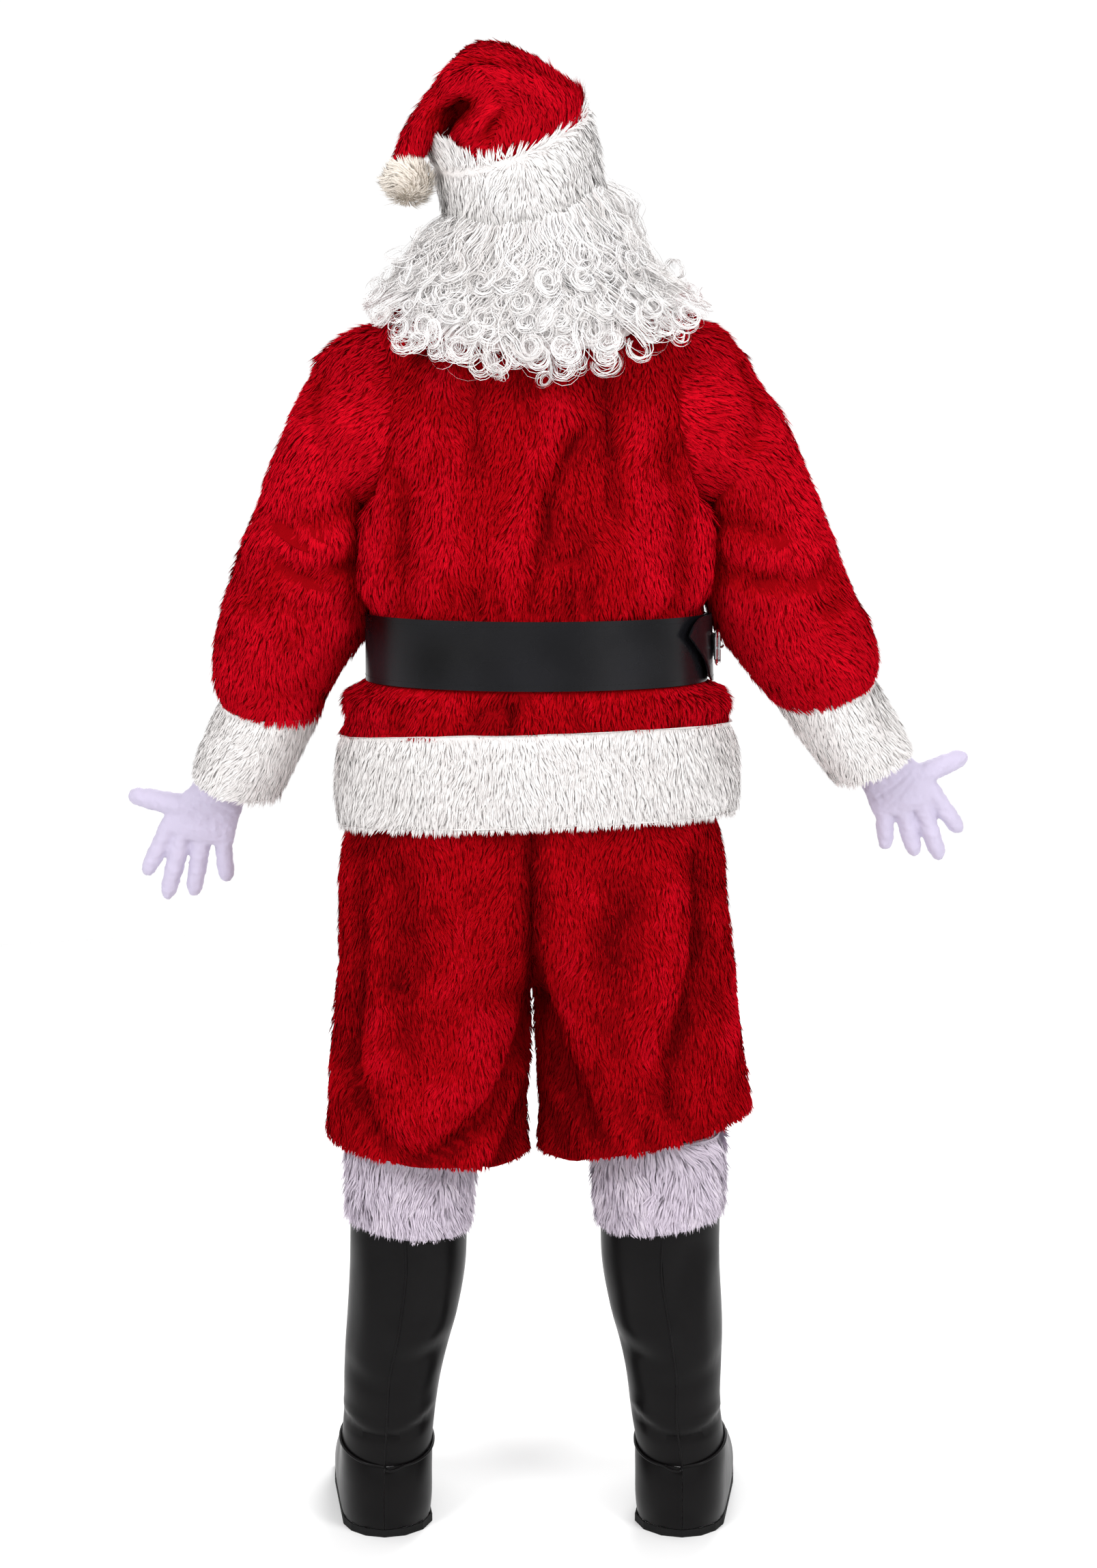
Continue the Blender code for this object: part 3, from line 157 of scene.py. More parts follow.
HAT_FOLDS_BACK = [
    Fold(-0.082, 1.801, -0.048, 1.808, 0.051, 1.775, 0.007, -0.008),
    Fold(-0.092, 1.789, -0.029, 1.789, 0.039, 1.755, 0.014, 0.007),
    Fold(-0.110, 1.745, -0.089, 1.750, -0.070, 1.761, 0.012, -0.014),
    Fold(-0.070, 1.798, -0.029, 1.765, -0.105, 1.730, 0.009, 0.008),
    Fold(-0.032, 1.760, -0.046, 1.739, -0.055, 1.718, 0.012, -0.010),
    Fold(0.010, 1.736, 0.004, 1.755, -0.015, 1.770, 0.008, -0.004),
    Fold(-0.107, 1.780, -0.116, 1.760, -0.122, 1.736, 0.009, -0.005),
]
HAT_FOLDS_FRONT = [
    Fold(-0.100, 1.745, -0.060, 1.760, -0.040, 1.800, 0.011, -0.007),
    Fold(0.050, 1.765, 0.010, 1.785, -0.030, 1.815, 0.012, -0.006),
    Fold(0.040, 1.740, 0.020, 1.760, -0.010, 1.790, 0.014, 0.005),
]
BOOT_FOLDS = [
    Fold(-0.252, 0.150, -0.190, 0.128, -0.132, 0.150, 0.006, -0.0042),
    Fold(-0.250, 0.163, -0.190, 0.142, -0.134, 0.163, 0.006, 0.0026),
    Fold(-0.240, 0.215, -0.195, 0.196, -0.150, 0.204, 0.012, -0.0030),
    Fold(-0.118, 0.240, -0.150, 0.225, -0.180, 0.228, 0.014, -0.0050),
    Fold(-0.110, 0.275, -0.140, 0.262, -0.172, 0.262, 0.016, 0.0030),
    Fold(-0.215, 0.370, -0.210, 0.300, -0.218, 0.230, 0.014, 0.0030),
    Fold(-0.140, 0.370, -0.132, 0.320, -0.140, 0.285, 0.012, -0.0026),
    Fold(0.122, 0.150, 0.180, 0.128, 0.240, 0.150, 0.006, -0.0042),
    Fold(0.124, 0.163, 0.180, 0.142, 0.240, 0.163, 0.006, 0.0026),
    Fold(0.140, 0.205, 0.180, 0.198, 0.232, 0.220, 0.012, -0.0030),
    Fold(0.108, 0.240, 0.140, 0.226, 0.166, 0.230, 0.014, -0.0050),
    Fold(0.100, 0.280, 0.130, 0.264, 0.160, 0.264, 0.016, 0.0030),
    Fold(0.214, 0.350, 0.206, 0.290, 0.214, 0.220, 0.014, 0.0032),
    Fold(0.190, 0.372, 0.176, 0.320, 0.186, 0.270, 0.013, -0.0026),
]
GLOVE_FOLDS = [
    Fold(-0.434, 0.912, -0.415, 0.902, -0.392, 0.886, 0.0028, -0.0016),
    Fold(-0.436, 0.902, -0.424, 0.892, -0.404, 0.876, 0.0026, -0.0014),
    Fold(-0.430, 0.922, -0.405, 0.914, -0.384, 0.902, 0.0028, -0.0013),
    Fold(-0.440, 0.916, -0.428, 0.906, -0.412, 0.898, 0.0028, 0.0012),
    Fold(-0.424, 0.938, -0.398, 0.930, -0.374, 0.924, 0.0030, -0.0014),
    Fold(0.466, 0.954, 0.450, 0.938, 0.428, 0.922, 0.0028, -0.0016),
    Fold(0.470, 0.944, 0.460, 0.930, 0.444, 0.912, 0.0026, -0.0014),
    Fold(0.460, 0.962, 0.440, 0.952, 0.416, 0.942, 0.0028, -0.0013),
    Fold(0.472, 0.958, 0.462, 0.946, 0.450, 0.934, 0.0028, 0.0012),
    Fold(0.452, 0.978, 0.430, 0.968, 0.404, 0.960, 0.0030, -0.0014),
]

# ---------------------------------------------------------------- middle lines of the tubes, as heights
SLEEVE_LINES = {
    "left": [(-0.200, 0.0, 1.394), (-0.263, 0.0, 1.327), (-0.299, 0.010, 1.186), (-0.328, 0.030, 1.071),
             (-0.354, 0.042, 0.991), (-0.377, 0.050, 0.941)],
    "right": [(0.200, 0.0, 1.394), (0.2635, 0.0, 1.327), (0.308, 0.010, 1.181), (0.3495, 0.030, 1.084),
              (0.387, 0.042, 1.015), (0.418, 0.050, 0.967)],
}
# Where a sleeve's plush and its cuff end: a point of the middle line, and the way it runs there.
SLEEVE_ENDS = {"left": ((-0.3295, 0.034, 1.042), (-0.30, 0.25, -0.92)),
               "right": ((0.3575, 0.034, 1.061), (0.38, 0.25, -0.88))}
CUFF_ENDS = {"left": ((-0.377, 0.050, 0.941), (-0.30, 0.25, -0.92)),
             "right": ((0.418, 0.050, 0.967), (0.38, 0.25, -0.88))}
BOOT_FUR_EDGES = {"left": ((-0.238, 0.396), (-0.086, 0.380)), "right": ((0.078, 0.386), (0.234, 0.402))}
BREECHES_HEMS = {"left": ((-0.268, 0.505), (-0.010, 0.480)), "right": ((0.000, 0.484), (0.268, 0.538))}
HAT_TAIL = -0.118  # left of this the hat's tail hangs
HAT_LINE = [(-0.018, 0.0, 1.660), (-0.028, 0.0, 1.745), (-0.048, -0.012, 1.778), (-0.080, -0.034, 1.792),
            (-0.108, -0.042, 1.768), (-0.134, -0.046, 1.740), (-0.150, -0.050, 1.690)]
HAT_BAND_LINE = [(-0.012, 0.0, 1.600), (-0.026, 0.0, 1.760)]
BOOT_LINES = {
    "left": [(-0.159, 0.010, 0.510), (-0.166, 0.0, 0.336), (-0.188, -0.006, 0.206), (-0.191, -0.004, 0.110),
             (-0.180, 0.030, 0.045)],
    "right": [(0.154, 0.010, 0.510), (0.160, 0.0, 0.338), (0.178, -0.006, 0.206), (0.182, -0.004, 0.110),
              (0.172, 0.030, 0.045)],
}
BOBBLE_CENTRE = np.array([-0.151, -0.052, 1.6735 + GROUND])
BOBBLE_RADIUS, BOBBLE_PILE = 0.030, 0.006
LEG_AXIS_HEIGHTS = [0.480, 0.575, 0.645, 0.708, 0.755, 0.795, 0.850, 0.905]
LEG_AXIS_OFFSETS = [0.136, 0.133, 0.128, 0.121, 0.086, 0.054, 0.022, 0.000]
LEG_AXIS_CENTRE = -0.006
LEGS_PART = 0.690
PLUSH_INSET = 0.0045  # the backing lies this far inside the plush's outline
BREECHES_INSET = 0.0010
CROWN_INSET = -0.002
TORSO_AXIS_TOP = 1.36  # above this the torso's outward directions come from this height

BELT_BOTTOM, BELT_TOP = 1.076, 1.158
HEM_BAND_BOTTOM, HEM_BAND_TOP = 0.905, 1.015
HEM_RISE_BACK, HEM_RISE_RIGHT = 0.012, 0.0085


# ---------------------------------------------------------------- arithmetic
def unit(vectors):
    return vectors / np.maximum(np.linalg.norm(vectors, axis=-1, keepdims=True), 1e-9)


def dots(a, b):
    return (a * b).sum(axis=-1)


def eased(low, high, value):
    """0 below low, 1 above high, smooth between."""
    share = np.clip((value - low) / (high - low), 0, 1)
    return share * share * (3 - 2 * share)


def between(start, full, waning, end, value):
    """Up from 0 at start to 1 at full, and back to 0 from waning to end."""
    return eased(start, full, value) * (1 - eased(waning, end, value))


def above_ground(points):
    return points[:, 2] - GROUND


def waves(points, seed, size, stretch=(1.0, 1.0, 1.0), count=14):
    """A smooth field, mostly from -1 to 1, with features about size across, longer by stretch."""
    rng = np.random.default_rng(seed)
    pitch = 2 * math.pi / size * rng.uniform(0.6, 1.5, (count, 1))
    bearings = unit(rng.normal(size=(count, 3))) * pitch / np.array(stretch)
    return np.sin(points @ bearings.T + rng.uniform(0, 2 * math.pi, count)).sum(axis=1) / math.sqrt(count)


def nearest_on(line, points):
    """The nearest point of a polyline to each point, and the line's heading there."""
    best = np.full(len(points), np.inf)
    feet, headings = np.zeros_like(points), np.zeros_like(points)
    for start, end in zip(line, line[1:]):
        run = end - start
        share = np.clip((points - start) @ run / (run @ run), 0, 1)
        foot = start + share[:, None] * run
        gap = np.linalg.norm(points - foot, axis=1)
        closer = gap < best
        best[closer], feet[closer], headings[closer] = gap[closer], foot[closer], unit(run)
    return feet, headings


def tree_of(points):
    tree = KDTree(len(points))
    for number, point in enumerate(points):
        tree.insert(point, number)
    tree.balance()
    return tree


def read(items, attribute, size, kind=np.float64):
    """An attribute of all of a mesh's items, as rows of size."""
    values = np.empty(len(items) * size, kind)
    items.foreach_get(attribute, values)
    return values.reshape(-1, size)


def line_of(rows):
    return np.array(rows) + UP * GROUND


def spun(vectors, normals, angles):
    """Vectors in the surface, turned in it by angles."""
    return vectors * np.cos(angles)[:, None] + np.cross(normals, vectors) * np.sin(angles)[:, None]


# ---------------------------------------------------------------- where each form's middle lies
def torso_middle(points):
    middle = np.zeros_like(points)
    middle[:, 2] = np.minimum(points[:, 2], TORSO_AXIS_TOP + GROUND)
    return middle


def leg_middle(points):
    middle = np.zeros_like(points)
    offset = np.interp(above_ground(points), LEG_AXIS_HEIGHTS, LEG_AXIS_OFFSETS)
    middle[:, 0] = LEG_AXIS_CENTRE + np.sign(points[:, 0] - LEG_AXIS_CENTRE) * offset
    middle[:, 2] = points[:, 2]
    return middle


def line_middle(rows):
    line = line_of(rows)
    return lambda points: nearest_on(line, points)[0]


def hat_middle(points):
    """The crown's middle line, but never the hanging tail's for what lies right of it."""
    line = line_of(HAT_LINE)
    crown, tail = nearest_on(line[:4], points)[0], nearest_on(line, points)[0]
    return np.where((points[:, 0] < HAT_TAIL)[:, None], tail, crown)


# ---------------------------------------------------------------- which way the pile lies
def pile_down(points):
    return np.tile(-UP, (len(points), 1))


def pile_along(rows):
    line = line_of(rows)
    return lambda points: nearest_on(line, points)[1]


def hem_rise(points):
    """How far the jacket's lower edge hangs above its lowest, at the back and on the wearer's right."""
    across = unit(points * LEVEL)
    return HEM_RISE_BACK * np.maximum(0.0, -across[:, 1]) + HEM_RISE_RIGHT * across[:, 0]


BAND_TOP = (-0.027, 0.0, 1.739)  # a point of the hat band's tilted top edge
BAND_SLOPE_X, BAND_SLOPE_Y = 0.351, 0.364
TAIL_PULL = np.array([-0.020, 0.0, 0.036])  # what the hanging tail does to the band's top edge
TAIL_PULL_FROM, TAIL_PULL_FULL, TAIL_PULL_DEPTH = 0.060, 0.112, 0.060  # left of the middle, and down the band
CROWN_SINKS, CROWN_FOOT = 0.014, (0.002, 0.014)  # the foot ends this far above the band's top edge
CROWN_INSET_RIGHT, CROWN_INSET_MORE_LEFT, CROWN_LEFT = 0.004, 0.008, (0.030, 0.065)
BAND_SEAM_X, BAND_SEAM_WIDTH, BAND_SEAM_CORE = -0.018, 0.035, 0.03
BAND_BEHIND, BAND_EDGE = 0.04, (0.003, 0.013)  # behind the middle, and below the band's top edge
BAND_PILE_SIDEWAYS, BAND_PILE_DOWN = 0.34, -0.94  # the band's pile leans to the wearer's right
BAND_PILE_PARTS, BAND_PILE_STANDS = 0.9, 2.0  # at the seam, and along the top edge
BAND_PILE_INWARD = 5.0  # along the top edge, for each metre in front of or behind the middle
BOBBLE_SWIRL = (0.3, 0.9, 0.2)  # the bobble's pile lies round this axis


def below_band_top(points):
    """How far below the tilted hat band's top edge."""
    x, y, height = BAND_TOP
    edge = height + BAND_SLOPE_X * (points[:, 0] - x) + BAND_SLOPE_Y * (points[:, 1] - y)
    return edge - above_ground(points)


def band_pushed_up(points, moves):
    """The hat's tail pulls the band's top edge up and out at the wearer's left."""
    pulled = eased(TAIL_PULL_FROM, TAIL_PULL_FULL, -points[:, 0])
    pulled = pulled * (1 - eased(0.0, TAIL_PULL_DEPTH, below_band_top(points)))
    return moves + TAIL_PULL * pulled[:, None]


def crown_tucked_in(points, moves):
    """The crown's foot goes down inside the band, and its hanging tail rests against the band."""
    foot = (1 - eased(*CROWN_FOOT, -below_band_top(points))) * (points[:, 0] > HAT_TAIL)
    inset = CROWN_INSET_RIGHT + CROWN_INSET_MORE_LEFT * eased(*CROWN_LEFT, -points[:, 0])
    return moves - UP * (CROWN_SINKS * foot)[:, None] - unit(points * LEVEL) * (inset * foot)[:, None]


def pile_hat_band(points):
    """Down the tilted band, standing up along its top edge, and parted at its seam at the back."""
    off_seam = points[:, 0] - BAND_SEAM_X
    away = np.clip(off_seam / BAND_SEAM_CORE, -1, 1) * np.exp(-((off_seam / BAND_SEAM_WIDTH) ** 2))
    behind = eased(0.0, BAND_BEHIND, -points[:, 1])
    up = 1 - eased(*BAND_EDGE, below_band_top(points))
    sideways = BAND_PILE_SIDEWAYS + BAND_PILE_PARTS * away * behind
    inward = -BAND_PILE_INWARD * points[:, 1] * up
    return unit(np.stack([sideways, inward, BAND_PILE_DOWN + BAND_PILE_STANDS * up], axis=1))


def pile_bobble(points):
    return unit(np.cross(points - BOBBLE_CENTRE, BOBBLE_SWIRL) + UP * 0.4)


# ---------------------------------------------------------------- shells
PLUSH_FOLDS = 1.6  # plush drapes in deeper folds than the tables' heights
BEND_STEPS = 25  # places tried along a fold's bend
FADES_FROM, FADES_OVER = 0.12, 0.76  # of half a sine wave: a fold fades out towards both ends
TURNS_FROM, TURNS_TO = -0.05, 0.35  # how far a surface has to face a side to take up that side's folds
DRAPE_SIZE, DRAPE_STRETCH = 0.11, (1.0, 1.0, 2.2)
FINE_DRAPE_SIZE, FINE_DRAPE_STRETCH, FINE_DRAPE_SHARE = 0.045, (1.0, 1.0, 1.6), 0.35
FACES_OUT = 0.25  # a face that turns out by more than this is on the outside
RIM_OUT = (-0.2, 0.2)  # over this turn a wall's rim passes from its inside to its outside
NORMAL_SHARE = 0.6  # how far cloth moves along its own normal too, and not only away from the middle
JOIN_TURN, JOIN_SHAPE, CREASE_TURN = math.radians(60), math.radians(70), math.radians(50)
Shell = namedtuple("Shell", "points faces normals outward relief outer")


def fold_field(points, outward, back, front):
    """How far folds move the surface out, from the table for the side that it faces."""
    moved = np.zeros(len(points))
    seen = np.stack([points[:, 0], above_ground(points)], axis=1)
    for folds, facing in ((back, -outward[:, 1]), (front, outward[:, 1])):
        near = eased(TURNS_FROM, TURNS_TO, facing)
        for fold in folds:
            a, b, c = (np.array(spot) for spot in (fold[0:2], fold[2:4], fold[4:6]))
            best = np.full(len(points), np.inf)
            fade = np.zeros(len(points))
            for t in np.linspace(0, 1, BEND_STEPS):
                spot = a * (1 - t) ** 2 + (2 * b - (a + c) / 2) * 2 * t * (1 - t) + c * t**2
                gap = ((seen - spot) ** 2).sum(axis=1)
                closer = gap < best
                best[closer] = gap[closer]
                fade[closer] = math.sin(math.pi * (FADES_FROM + FADES_OVER * t)) ** 0.6
            moved += near * fade * fold.height * np.exp(-best / fold.width**2)
    return moved


def modified(name, work, modifiers):
    """A form after its modifiers, as points, their normals and four-sided faces. It uses work up."""
    mesh = bpy.data.meshes.new(name + "_draft")
    work.to_mesh(mesh)
    work.free()
    draft = bpy.data.objects.new(name + "_draft", mesh)
    bpy.context.scene.collection.objects.link(draft)
    for kind, settings in modifiers.items():
        modifier = draft.modifiers.new(kind, kind)
        for setting, value in settings.items():
            setattr(modifier, setting, value)
    graph = bpy.context.evaluated_depsgraph_get()
    form = draft.evaluated_get(graph).to_mesh()
    points, normals = read(form.vertices, "co", 3), read(form.vertices, "normal", 3)
    faces = read(form.loops, "vertex_index", 1, np.int64).reshape(-1, 4)
    bpy.data.objects.remove(draft)
    return points, normals, faces


def refined(node, levels):
    """The node's form, its corners kept and its curves smoothed, as points and four-sided faces."""
    work = bmesh.new()
    work.from_mesh(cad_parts[node].data)
    bmesh.ops.remove_doubles(work, verts=work.verts, dist=1e-5)
    bmesh.ops.join_triangles(
        work,
        faces=work.faces,
        angle_face_threshold=JOIN_TURN,
        angle_shape_threshold=JOIN_SHAPE,
    )
    crease = work.edges.layers.float.new("crease_edge")
    for edge in work.edges:
        if len(edge.link_faces) == 2 and edge.calc_face_angle() > CREASE_TURN:
            edge[crease] = 1.0
    points, _, faces = modified(node, work, {"SUBSURF": {"levels": levels, "render_levels": levels}})
    return points, faces


def face_normals(points, faces):
    a, b, c, d = (points[faces[:, corner]] for corner in range(4))
    return np.cross(c - a, d - b)


def vertex_normals(points, faces, chosen=None):
    normals = np.zeros_like(points)
    across = face_normals(points, faces)
    if chosen is not None:
        across = across * chosen[:, None]
    for corner in range(4):
        np.add.at(normals, faces[:, corner], across)
    return unit(normals)


def free_everywhere(points, moves):
    return moves


def seat_seam_shut(points, moves):
    """The breeches' halves keep meeting at the centre seam, above where the legs part."""
    apart = eased(0.0, 0.035, np.abs(points[:, 0] - LEG_AXIS_CENTRE))
    joined = eased(LEGS_PART, LEGS_PART + 0.02, above_ground(points))
    return moves * np.stack([1 - joined * (1 - apart), np.ones(len(points)), np.ones(len(points))], axis=1)


# Rows of four are for between(): where something starts, is full, wanes and ends. Rows of two are for eased().
ARMHOLE_MIDDLE, ARMHOLE_RADIUS, ARMHOLE_HALF_DEPTH = 1.394, 0.106, 0.088
ARMHOLE_FILL, ARMHOLE_REACH, ARMHOLE_SEAM = 0.015, 0.034, 0.012
ARMHOLE_OUT = (0.10, 0.14, 0.215, 0.285)  # off the middle
SHOULDER_OUT, SHOULDER_HEIGHTS = (0.120, 0.175, 0.235, 0.265), (1.455, 1.490)
SHOULDER_RISE_RIGHT, SHOULDER_RISE_LEFT = 0.014, 0.009
SEWN_OUT = (0.205, 0.250)  # to here the sleeve moves with the jacket
UNDERARM_HEIGHTS = (1.080, 1.150, 1.290, 1.330)  # where a sleeve's inner side rests on the jacket
UNDERARM_OUT, UNDERARM_INSET = (0.225, 0.290), 0.017
CORNER_OUT, CORNER_HEIGHTS = (0.215, 0.260), (1.390, 1.470)
CORNER_INSET_RIGHT, CORNER_INSET_LEFT = 0.018, 0.007  # how far the shoulder's corner is rounded in
SIDE_FACING = (0.50, 0.90)  # how far the jacket's sides face sideways
SIDE_HEIGHTS, SIDE_SWELL = (1.165, 1.200, 1.290, 1.330), 0.010
SKIRT_HEIGHTS, SKIRT_SWELL = (1.025, 1.058, 1.066, 1.077), 0.016


def off_armhole(points):
    """Where points lie round the armhole's oval, and how far off it."""
    y, z = points[:, 1] / ARMHOLE_HALF_DEPTH, (above_ground(points) - ARMHOLE_MIDDLE) / ARMHOLE_RADIUS
    return y, z, (np.hypot(y, z) - 1) * (ARMHOLE_RADIUS + ARMHOLE_HALF_DEPTH) / 2


def armhole_filled(points):
    """The plush on both sides of the armhole seam stands out, so that the shoulder runs on into the sleeve."""
    y, z, away = off_armhole(points)
    near = np.exp(-((away / ARMHOLE_REACH) ** 2)) * between(*ARMHOLE_OUT, np.abs(points[:, 0]))
    heading = unit(np.stack([0.5 * np.sign(points[:, 0]), y, z], axis=1))
    return heading * (ARMHOLE_FILL * near * (1 - 0.5 * np.abs(z).clip(0, 1)))[:, None]


def shoulder_raised(points):
    """The shoulders' slope stands up over the start of the sleeves, the right one higher."""
    near = between(*SHOULDER_OUT, np.abs(points[:, 0])) * eased(*SHOULDER_HEIGHTS, above_ground(points))
    return UP * (np.where(points[:, 0] > 0, SHOULDER_RISE_RIGHT, SHOULDER_RISE_LEFT) * near)[:, None]


def inset_to_jacket(points, moves, near):
    """Where near is 1, moves give way to the jacket's own inset, so that sewn edges stay together."""
    outward = unit(points - torso_middle(points))
    return moves * (1 - near)[:, None] - outward * (PLUSH_INSET * near)[:, None]


def follow_armhole(points, moves):
    """The sleeve's start moves in with the jacket that it is sewn to, its inner side rests on the jacket, and
    the shoulder is rounded off."""
    out, height = np.abs(points[:, 0]), above_ground(points)
    moves = inset_to_jacket(points, moves, 1 - eased(*SEWN_OUT, out))
    moves = moves + armhole_filled(points) + shoulder_raised(points)
    touching = (1 - eased(*UNDERARM_OUT, out)) * between(*UNDERARM_HEIGHTS, height)
    corner = eased(*CORNER_HEIGHTS, height) * eased(*CORNER_OUT, out)
    corner = corner * np.where(points[:, 0] > 0, CORNER_INSET_RIGHT, CORNER_INSET_LEFT)
    moves[:, 0] -= np.sign(points[:, 0]) * (UNDERARM_INSET * touching + corner)
    return moves


def swell_sides(points, moves):
    """The jacket's sides fill out against the sleeves, and its skirt swells out right below the belt."""
    outward, height = unit(points * LEVEL), above_ground(points)
    *_, away = off_armhole(points)
    seam = np.exp(-((away / ARMHOLE_SEAM) ** 2)) * eased(*ARMHOLE_OUT[:2], np.abs(points[:, 0]))
    swell = SIDE_SWELL * between(*SIDE_HEIGHTS, height) + SKIRT_SWELL * between(*SKIRT_HEIGHTS, height)
    swell = swell * eased(*SIDE_FACING, np.abs(outward[:, 0])) * (1 - seam)
    moves = inset_to_jacket(points, moves, seam)
    return moves + armhole_filled(points) + shoulder_raised(points) + outward * swell[:, None]


def belted(points):
    """1 where the belt holds the jacket in."""
    return between(BELT_BOTTOM - 0.02, BELT_BOTTOM, BELT_TOP, BELT_TOP + 0.014, above_ground(points))


def shell_of(node, levels, middle, inset, back=(), front=(), drape=0.0, seed=1, outer_only=False,
             held=free_everywhere):
    """The node's shell, moved in by inset, or only its outside is, with its folds and a finer uneven drape.
    held changes the moves where something holds the cloth."""
    points, faces = refined(node, levels)
    across = unit(face_normals(points, faces))
    centres = points[faces].mean(axis=1)
    outer = dots(across, unit(centres - middle(centres))) > FACES_OUT
    outward = unit(points - middle(points))
    relief = fold_field(points, outward, back, front)
    if drape:
        relief = PLUSH_FOLDS * relief
        relief = relief + drape * waves(points, seed, DRAPE_SIZE, DRAPE_STRETCH)
        fine = waves(points, seed + 1, FINE_DRAPE_SIZE, FINE_DRAPE_STRETCH)
        relief = relief + FINE_DRAPE_SHARE * drape * fine
        relief = relief * (1 - belted(points))
    normals = vertex_normals(points, faces)
    along = unit(outward + NORMAL_SHARE * normals * np.sign(dots(normals, outward))[:, None])
    moved = relief - inset * (eased(*RIM_OUT, dots(normals, outward)) if outer_only else 1.0)
    points = points + held(points, along * moved[:, None])
    return Shell(points, faces, vertex_normals(points, faces, outer), outward, relief, outer)


def object_of(name, points, faces, materials, smooth_angle=None, material_index=None, normals=None):
    """A mesh object from arrays. faces all have the same number of corners."""
    mesh = bpy.data.meshes.new(name)
    corners = faces.shape[1]
    mesh.vertices.add(len(points))
    mesh.vertices.foreach_set("co", np.ascontiguousarray(points, np.float32).ravel())
    mesh.loops.add(faces.size)
    mesh.loops.foreach_set("vertex_index", np.ascontiguousarray(faces, np.int32).ravel())
    mesh.polygons.add(len(faces))
    mesh.polygons.foreach_set("loop_start", np.arange(0, faces.size, corners, dtype=np.int32))
    for used in materials:
        mesh.materials.append(used)
    if material_index is not None:
        mesh.polygons.foreach_set("material_index", np.ascontiguousarray(material_index, np.int32))
    mesh.update(calc_edges=True)
    mesh.shade_smooth()
    if smooth_angle:
        mesh.set_sharp_from_angle(angle=math.radians(smooth_angle))
    if normals is not None:
        mesh.normals_split_custom_set_from_vertices(np.ascontiguousarray(normals, np.float32))
    obj = bpy.data.objects.new(name, mesh)
    bpy.context.scene.collection.objects.link(obj)
    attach(obj, "root")
    return obj


# ---------------------------------------------------------------- materials
CLOTH_GLOSS, METAL_GLOSS = 0.2, 0.5  # specular levels


def sockets(node, values):
    for name, value in values.items():
        node.inputs[name.replace("_", " ")].default_value = value


def shader_of(material):
    return material.node_tree.nodes["Principled BSDF"]


def plain_material(name, colour, roughness, metallic=0.0, sheen=0.0, sheen_tint=(1, 1, 1), gloss=CLOTH_GLOSS):
    made = bpy.data.materials.new(name)
    made.use_nodes = True
    sockets(shader_of(made), {
        "Base_Color": (*colour, 1.0),
        "Roughness": roughness,
        "Metallic": metallic,
        "Specular_IOR_Level": METAL_GLOSS if metallic else gloss,
        "Sheen_Weight": sheen,
        "Sheen_Roughness": 0.45,
        "Sheen_Tint": (*sheen_tint, 1.0),
    })
    return made


def node_of(material, kind, **values):
    node = material.node_tree.nodes.new(kind)
    sockets(node, values)
    return node


def noise_in(material, scale, detail, stretch=None):
    """Noise in the object's own coordinates."""
    tree = material.node_tree
    place = node_of(material, "ShaderNodeTexCoord").outputs["Object"]
    if stretch:
        mapping = node_of(material, "ShaderNodeMapping", Scale=stretch)
        tree.links.new(place, mapping.inputs["Vector"])
        place = mapping.outputs["Vector"]
    noise = node_of(material, "ShaderNodeTexNoise", Scale=scale, Detail=detail)
    tree.links.new(place, noise.inputs["Vector"])
    return noise.outputs["Fac"]


def varied_roughness(material, scale, low, high):
    """Uneven gloss."""
    noise = noise_in(material, scale, 5.0)
    span = node_of(material, "ShaderNodeMapRange", To_Min=low, To_Max=high, From_Min=0.3, From_Max=0.7)
    links = material.node_tree.links
    links.new(noise, span.inputs["Value"])
    links.new(span.outputs["Result"], shader_of(material).inputs["Roughness"])


def painted_highlights(material, scale, dark, light):
    """Broad soft patches of painted highlight and painted shade in the colour, standing in for reflections."""
    noise = noise_in(material, scale, 1.0)
    ramp = node_of(material, "ShaderNodeValToRGB")
    for element, position, colour in zip(ramp.color_ramp.elements, (0.36, 0.64), (dark, light)):
        element.position, element.color = position, (*colour, 1.0)
    links = material.node_tree.links
    links.new(noise, ramp.inputs["Fac"])
    links.new(ramp.outputs["Color"], shader_of(material).inputs["Base Color"])


def bumped(material, scale, distance, strength=1.0, stretch=(1, 1, 1)):
    """Fine relief."""
    noise = noise_in(material, scale, 3.0, stretch)
    bump = node_of(material, "ShaderNodeBump", Distance=distance, Strength=strength)
    links = material.node_tree.links
    links.new(noise, bump.inputs["Height"])
    links.new(bump.outputs["Normal"], shader_of(material).inputs["Normal"])


def family(name, tones, roughness, sheen, sheen_tint, gloss=CLOTH_GLOSS):
    """The tones of one pile, darkest first, as materials with uneven gloss."""
    made = []
    for number, tone in enumerate(tones):
        material = plain_material(f"{name}_{number}", tone, roughness, 0.0, sheen, sheen_tint, gloss)
        varied_roughness(material, 60.0, roughness - 0.08, roughness + 0.08)
        made.append(material)
    return made


